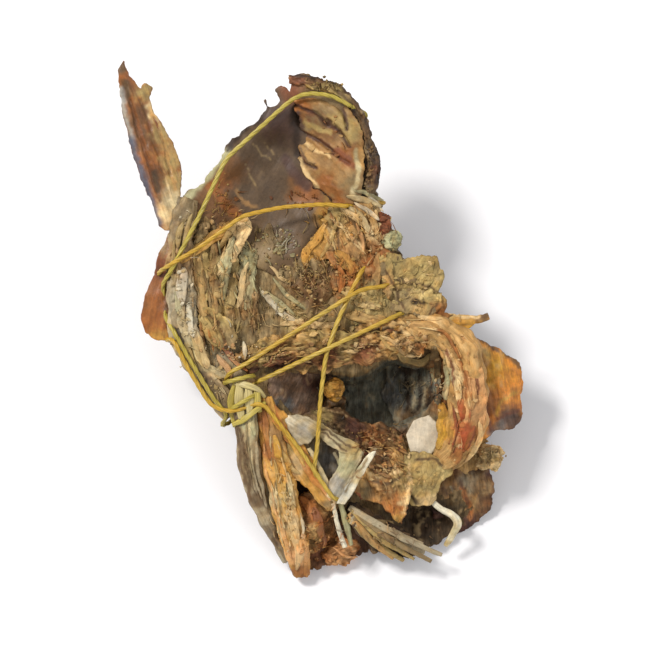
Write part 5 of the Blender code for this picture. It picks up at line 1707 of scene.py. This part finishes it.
def litter_table(ground, table, seed):
    """The loose bits of a table of patches, joined, in tones near those of the ground."""
    bits = []
    for i, (patch, tones, hairs, flakes, crumbs, grain) in enumerate(table):
        bits += litter(ground, patch, tones, hairs, flakes, crumbs, grain, seed=seed + i)
    print(len(bits), "bits")
    return toned_down(joined(bits), ground)


print("three kinds of loose bits")

# %% Litter of the throat and the crust
# A patch, its tones, the numbers of hairs, flakes and crumbs, and the way the hairs lie.
SOFT_LITTER = [
    ((-24, 34, 14, 11), ("olive", "sage", "khaki", "nut"), 14, 16, 60, 100),
    ((-19, 38, 5, 7), ("chalk", "sage"), 6, 6, 40, 60),
    ((-6, 22, 14, 10), ("nut", "olive", "tan", "khaki", "cream"), 34, 18, 120, 120),
    ((-6, 20, 9, 7), ("umber", "nut", "khaki"), 10, 6, 110, 100),
    ((-34, 2, 8, 9), ("umber", "olive", "khaki"), 26, 6, 10, 90),
    ((-50, 10, 10, 20), ("tan", "khaki", "cream"), 22, 10, 10, 95),
    ((-12, 4, 14, 7), ("khaki", "tan", "cream", "paper"), 22, 12, 40, -30),
    ((8, 44, 14, 10), ("ochre", "tan", "cream", "khaki"), 22, 12, 14, 110),
    ((12, 22, 9, 9), ("rust", "orange", "tan", "khaki"), 16, 12, 30, 110),
    ((24, 34, 7, 9), ("rust", "tan", "cream"), 12, 12, 12, 100),
    ((20, 8, 12, 6), ("khaki", "paper", "tan"), 10, 14, 16, 20),
    ((-46, -14, 10, 6), ("cream", "peach", "tan", "chalk"), 8, 10, 20, 100),
    ((-22, -16, 16, 6), ("red brown", "khaki", "tan"), 16, 12, 24, 20),
    ((8, -11, 18, 7), ("tan", "cream", "red brown", "khaki"), 26, 24, 46, 15),
    ((38, -10, 12, 8), ("cream", "tan", "rust", "ochre"), 18, 14, 20, 30),
    ((26, -55, 14, 6), ("red brown", "maroon", "tan", "nut", "umber"), 30, 20, 50, 10),
    ((30, -70, 11, 8), ("tan", "cream", "umber", "rust"), 28, 16, 26, -15),
    ((46, -76, 8, 7), ("khaki", "cream", "paper"), 4, 5, 8, 80),
    ((42, 16, 12, 12), ("paper", "cream", "khaki"), 12, 14, 26, 40),
    ((79, -65, 6, 6), ("cream", "khaki", "umber"), 6, 10, 20, 80),
    ((-2, -100, 10, 14), ("orange", "rust", "peach", "tan"), 18, 16, 30, 80),
    ((-48, 58, 6, 9), ("rust", "tan", "khaki"), 14, 4, 10, 60),
    ((-10, 58, 9, 4), ("rust", "buff", "red brown"), 10, 6, 14, -30),
    ((-48, 48, 10, 5), ("tan", "cream", "ochre"), 10, 8, 8, 40),
    ((2, 111, 12, 3), ("khaki", "umber", "olive"), 3, 8, 40, -25),
    ((22, 74, 3, 10), ("umber", "skin", "olive"), 3, 10, 40, 80),
    ((40, -33, 8, 8), ("slate light", "slate", "grey bone"), 24, 4, 6, 85),
    ((8, -34, 10, 8), ("slate", "slate light", "umber"), 8, 2, 6, 60),
]
ground = ground_of(shown)
piece("soft_litter", litter_table(ground, SOFT_LITTER, seed=500), throat_tissue)

# %% Litter of the bones
HARD_LITTER = [
    ((-66, 12, 4, 34), ("chalk", "bone", "khaki", "olive"), 16, 22, 30, 5),
    ((-52, -30, 8, 6), ("umber", "khaki", "bone"), 8, 8, 10, -50),
    ((-18, -86, 6, 22), ("cream", "ochre", "khaki", "bone"), 20, 14, 24, 105),
    ((28, -101, 16, 7), ("tan", "nut", "umber"), 24, 4, 8, -30),
    ((64, -22, 8, 18), ("peach", "cream", "tan"), 8, 8, 10, 100),
    ((62, -54, 8, 10), ("blood", "cream", "orange"), 4, 6, 10, 75),
    ((53, -32, 3, 10), ("rust", "cream", "umber"), 10, 10, 20, 90),
    ((2, 84, 10, 16), ("rust", "tan"), 4, 6, 4, -40),
]
piece("hard_litter", litter_table(ground, HARD_LITTER, seed=600), bare_bone)

# %% [markdown]
# ## The twine
# The twine is drawn tight over everything, so its route is found the way a string finds it:
# rays feel how high the head stands along the route, and the string keeps only the highest
# points, bridging the hollows between them. It is three plies of split polypropylene film,
# twisted together, and at the knot the film has opened out.

# %% Finding the twine's way
# The circle that the twisted plies sweep; seen from the side they are 2 mm wide.
TWINE_RADIUS = 1.1
TWINE_CLEAR = 0.3
TWINE_PRESS = 0.2
TWINE_STEP = 0.9
RAY_START = 300


def surface_of(form):
    """The form as a surface that rays can hit."""
    return BVHTree.FromPolygons(form.verts.tolist(), form.faces.tolist())


def bearing(surfaces, a, b, side):
    """How far out the twine's centre must lie at (a, b) to clear what is under it."""
    found = []
    for away in ((0, 0), (1, 0), (-1, 0), (0, 1), (0, -1)):
        start = Vector((a + away[0] * TWINE_RADIUS, b + away[1] * TWINE_RADIUS, side * RAY_START))
        for surface, gap in surfaces:
            hit = surface.ray_cast(start, Vector((0, 0, -side)))[0]
            if hit:
                found.append(hit.z * side + TWINE_RADIUS + gap)
    return max(found, default=None)


def taut(surfaces, route, side):
    """The run along a route of (a, b) points, bridging every hollow that it crosses."""
    corners = np.array(route, float)
    ends = reach_along(corners)
    chain = []
    for reach in np.linspace(0, ends[-1], int(ends[-1] / 2) + 2):
        a, b = (np.interp(reach, ends, corners[:, i]) for i in (0, 1))
        height = bearing(surfaces, a, b, side)
        if height is None:
            continue
        while len(chain) > 1:
            (s0, h0), (s1, h1) = chain[-2:]
            if (h1 - h0) * (reach - s0) > (height - h0) * (s1 - s0):
                break
            chain.pop()
        chain.append((reach, height))
    chain = np.array(chain)
    kept = [s for s in ends if chain[0, 0] < s < chain[-1, 0]]
    reach = np.unique(np.concatenate([chain[:, 0], kept]))
    found = [np.interp(reach, ends, corners[:, i]) for i in (0, 1)]
    return np.column_stack([*found, side * np.interp(reach, chain[:, 0], chain[:, 1])])


def evened(loop, step, passes):
    """The closed loop with points one step apart and its corners rounded."""
    loop = np.vstack([loop, loop[:1]])
    ends = reach_along(loop)
    reach = np.arange(int(ends[-1] / step)) * step
    even = np.column_stack([np.interp(reach, ends, loop[:, i]) for i in range(3)])
    for _ in range(passes):
        even = (np.roll(even, 1, axis=0) + 2 * even + np.roll(even, -1, axis=0)) / 4
    even[:, 2] = np.maximum(even[:, 2], table_height(even, TWINE_RADIUS + TWINE_CLEAR))
    return even


print("the plies sweep a circle of", 2 * TWINE_RADIUS, "mm")

# %% The routes of the four turns


def over(*route):
    """A run drawn tight over the opened side."""
    return "over", route


def under(*route):
    """A run drawn tight round the back."""
    return "under", route


def through(*points):
    """A run through given (a, b, d) points, as where the twine rounds an edge."""
    return "through", points


TURNS = {
    "nape": [
        over((12.5, 101), (3, 106), (-8, 107), (-15, 104), (-46, 76), (-58, 50), (-72, 23)),
        through((-76.5, 17, 4), (-74.5, 10, 0), (-75.5, 3, 2)),
        over((-71, -4), (-62, -20), (-51, -38), (-45, -44)),
        through((-49, -50, -3)),
        under((-44, -48), (18, 94)),
        through((21.5, 97.5, 3), (17, 98.8, 6.5)),
    ],
    "neck": [
        over((11.5, 54), (0, 55), (-20, 53.5), (-38, 49.5), (-59, 34), (-71, 27)),
        through((-78, 23, 5), (-78, 21, -3)),
        under((-72, 20), (22, 57)),
        through((29.5, 56, -2), (22, 56, -1), (15.5, 55, 1)),
    ],
    "jaw": [
        over((-71, -8), (-64, -22), (-53, -40), (-44, -43), (-29, -38), (-10, -62), (5, -84.5)),
        through((10.5, -84, 0), (8, -81, -4), (2, -79, -3)),
        over((-5, -72), (-3, -59), (-1.5, -36), (1, -16), (6.5, 0), (12.5, 13), (18, 24)),
        through((21, 28, 1), (27, 39, -2), (32, 50, -6)),
        under((28, 46), (-66, -10)),
        through((-75, -9, -2)),
    ],
    "throat": [
        over((-32, -29), (35, 3)),
        through((46, 8, 1), (51, 11, -2), (54, 13, -8), (53, 20, -13), (51, 26, -12), (51, 29, -5)),
        through((44, 25.5, 1), (36, 21, 3)),
        over((27, 15.5), (21, 16), (14, 13), (-38, -21)),
        through((-44, -24, 8), (-47, -28, 2), (-44, -31, -2), (-36, -32, -3)),
    ],
}
print(len(TURNS), "turns")

# %% The knot
KNOT_START = (-40.0, -27.0, 4.5)
KNOT_RADIUS = 7.0
KNOT_POINTS = 48
KNOT_FLAT = 0.86
SHAFT_WAY = (3.0, -16.0, 1.0)
# Two rings, each a place along the bone, a lean and a slack.
KNOT = [(0.5, 0.4, 0.0), (11.5, 2.6, 0.2)]
OPENED_FILM = [
    ("film edge", [(-41, -27, 8.6, 1.0), (-43.6, -36, 6.8, 1.5),
                   (-43.2, -43, 6.2, 1.4), (-42, -50, 6, 0.9)]),
    ("film edge", [(-43, -49, 6.4, 0.9), (-38, -46.5, 9.9, 1.4),
                   (-32, -42, 10.2, 1.3), (-27.5, -38, 7, 0.8)]),
    ("film", [(-42, -29, 8.4, 1.0), (-36.5, -30, 10.2, 1.5),
              (-31, -32, 9.6, 1.2), (-27.5, -36, 6, 0.8)]),
    ("film", [(-39.5, -29, 9.2, 1.4), (-39.6, -37, 9.2, 2.4), (-38.5, -46, 9.4, 1.6)]),
    ("film", [(-35.5, -31, 9.8, 1.4), (-35, -37, 10, 2.2), (-34.5, -44, 9.9, 1.3)]),
    ("film edge", [(-31, -31, 8.8, 1.0), (-31.4, -37, 9.2, 1.7), (-30, -43, 8.2, 0.9)]),
]


def knot_rings():
    """The rings of twine round the grey jaw bone."""
    shaft = np.array(SHAFT_WAY) / math.hypot(*SHAFT_WAY)
    across = np.cross(shaft, (0, 0, 1))
    across /= np.linalg.norm(across)
    up = np.cross(across, shaft)
    turn = np.linspace(0, 2 * math.pi, KNOT_POINTS, endpoint=False)[:, None]
    rings = []
    for place, lean, slack in KNOT:
        radius = KNOT_RADIUS + slack
        circle = radius * (np.cos(turn) * across + KNOT_FLAT * np.sin(turn) * up)
        rings.append(circle + np.array(KNOT_START) + shaft * (place + lean * np.cos(turn)))
    return [evened(ring, TWINE_STEP, 0) for ring in rings]


print(len(KNOT), "rings and", len(OPENED_FILM), "strips of opened film")

# %% Twisting the plies
PLIES = 3
PLY_RADIUS = 0.68
PLY_SIDES = 8
PLY_SPREAD = 0.42
PLY_TURN = 15.0


def turning_frame(line):
    """Two directions square to a closed line that turn with it as little as they can."""
    ahead = np.roll(line, -1, axis=0) - np.roll(line, 1, axis=0)
    ahead /= np.linalg.norm(ahead, axis=1)[:, None]
    side = np.cross(ahead[0], (0.3, 0.2, 1.0))
    sides = []
    for direction in ahead:
        side = side - direction * (side @ direction)
        side = side / np.linalg.norm(side)
        sides.append(side)
    sides = np.array(sides)
    return sides, np.cross(ahead, sides)


def ply_faces(rings):
    """The triangles round a closed ply."""
    ring = np.arange(rings)
    following = (ring + 1) % rings
    faces = []
    for i in range(PLY_SIDES):
        here, there = i * rings, (i + 1) % PLY_SIDES * rings
        faces.append(np.column_stack([there + following, there + ring, here + ring]))
        faces.append(np.column_stack([here + following, there + following, here + ring]))
    return np.vstack(faces)


def ply(line, phase, tone):
    """One ply, wound round the line, with a tone that drifts to straw and back."""
    side, up = turning_frame(line)
    along = np.arange(len(line)) * TWINE_STEP
    turn = (2 * math.pi * along / PLY_TURN + phase)[:, None]
    centre = line + PLY_SPREAD * (np.cos(turn) * side + np.sin(turn) * up)
    side, up = turning_frame(centre)
    verts, flow = [], []
    for i in range(PLY_SIDES):
        angle = 2 * math.pi * i / PLY_SIDES
        verts.append(centre + PLY_RADIUS * (math.cos(angle) * side + math.sin(angle) * up))
        flow.append(np.column_stack([along, 0 * along + i * PLY_RADIUS, 0 * along]))
    verts = np.vstack(verts)
    form = form_of(verts, ply_faces(len(line)), np.vstack(flow), tone)
    drift = smoothstep(0.5 + 0.9 * lumps(verts, 24))[:, None]
    return form._replace(tone=form.tone + 0.5 * drift * (TONES["straw"] - form.tone))


TURN_TONES = {"nape": "lemon", "neck": "golden", "jaw": "golden", "throat": "golden"}
surfaces = [(surface_of(joined(shown)), 0.0)]
plies = []
for name, runs in TURNS.items():
    stretches = [
        np.array(points, float) if kind == "through"
        else taut(surfaces, points, 1 if kind == "over" else -1)
        for kind, points in runs
    ]
    line = evened(evened(np.vstack(stretches), 2.5, 2), TWINE_STEP, 2)
    turn_plies = [ply(line, 2 * math.pi * i / PLIES, TURN_TONES[name]) for i in range(PLIES)]
    surfaces.append((surface_of(joined(turn_plies)), -TWINE_PRESS))
    plies += turn_plies
    print(f"{name}: {len(line) * TWINE_STEP:.0f} mm of twine")
for ring in knot_rings():
    plies += [ply(ring, 2 * math.pi * i / PLIES, "lemon") for i in range(PLIES)]
plies += [rod(path, tone, flat=0.22, bumps=0.35, roll=8, seed=i, step=0.7)
          for i, (tone, path) in enumerate(OPENED_FILM)]

# %% The twine's material
FIBRIL_LONG = 6.25
FIBRIL_WIDE = 1 / 2.2


def twine_material():
    """Split polypropylene film, golden yellow: glossy along its fibrils."""
    made, tree, shader = new_material("polypropylene twine")
    flow = add(tree, "ShaderNodeAttribute", {"attribute_name": "Flow"})
    stretch = add(tree, "ShaderNodeMapping", {"Scale": (1 / FIBRIL_LONG, 1 / FIBRIL_WIDE, 1)},
                  {"Vector": flow.outputs["Vector"]})
    fibril = add(tree, "ShaderNodeTexNoise", {"Scale": 1.0, "Detail": 3.0},
                 {"Vector": stretch.outputs[0]})
    tint = add(tree, "ShaderNodeAttribute", {"attribute_name": "Tint"})
    share = add(tree, "ShaderNodeMapRange", {1: 0.3, 2: 0.7, 3: 0.6, 4: 1.35},
                {0: fibril.outputs["Fac"]})
    colour = add(tree, "ShaderNodeVectorMath", {"operation": "SCALE"},
                 {0: tint.outputs["Color"], "Scale": share.outputs[0]})
    bump = add(tree, "ShaderNodeBump", {"Strength": 0.5, "Distance": 0.0003},
               {"Height": fibril.outputs["Fac"]})
    tree.links.new(colour.outputs[0], shader.inputs["Base Color"])
    tree.links.new(bump.outputs[0], shader.inputs["Normal"])
    shader.inputs["Roughness"].default_value = 0.42
    shader.inputs["IOR"].default_value = 1.49
    return made


# Twisted plies of split film, as cheap net and baling twine is made.
piece("twine_plies", joined(plies), twine_material(), node="twine")

# %% [markdown]
# ## Camera and light
# The photograph looks straight down on the opened side with little perspective, so the
# camera stands 1.6 metres off along that side's normal with a long lens. A small lamp at the
# upper left gives the relief its shadows, and a large weak one and a white world fill them.

# %% Camera
CAMERA_AWAY = 1.6
CAMERA_LIFT = 75.0
FRAME_SHARE = 0.80
SENSOR = 36.0
HEAD_LONG = 0.245
aim = Vector((0.0, 0.0, 0.046))
lift = math.radians(CAMERA_LIFT)
camera_data = bpy.data.cameras.new("Camera")
camera_data.sensor_width = SENSOR
camera_data.lens = SENSOR * CAMERA_AWAY * FRAME_SHARE / HEAD_LONG
camera = bpy.data.objects.new("Camera", camera_data)
bpy.context.collection.objects.link(camera)
camera.location = aim + CAMERA_AWAY * Vector((0, -math.cos(lift), math.sin(lift)))
camera.rotation_euler = (math.radians(90 - CAMERA_LIFT), 0, 0)
bpy.context.scene.camera = camera
print("lens", round(camera_data.lens), "mm")

# %% Light and floor


def lamp(name, place, size, power, colour="#ffffff"):
    """A square lamp that faces the head."""
    data = bpy.data.lights.new(name, "AREA")
    data.size = size
    data.energy = power
    data.color = linear(colour)
    made = bpy.data.objects.new(name, data)
    bpy.context.collection.objects.link(made)
    made.location = place
    made.rotation_euler = (aim - Vector(place)).to_track_quat("-Z", "Y").to_euler()
    return made


lamp("Key", (-0.9, 0.5, 1.5), 0.4, 27.0, "#fffdfa")
lamp("Fill", (1.2, -0.8, 1.2), 1.2, 8.0, "#fbfcff")
world = bpy.data.worlds.new("Studio")
world.use_nodes = True
backdrop = world.node_tree.nodes["Background"]
backdrop.inputs["Color"].default_value = (1.0, 1.0, 1.0, 1)
backdrop.inputs["Strength"].default_value = 0.55
bpy.context.scene.world = world
bpy.ops.mesh.primitive_plane_add(size=6.0, location=(0, 0, 0))
floor = bpy.context.object
floor.name = "floor"
# Plain white paper under the head, matt.
paper, _, paper_shader = new_material("white paper")
paper_shader.inputs["Base Color"].default_value = (*linear("#f4f3f5"), 1)
paper_shader.inputs["Roughness"].default_value = 0.9
floor.data.materials.append(paper)
bpy.context.scene.view_settings.view_transform = "Standard"
print("stage set")
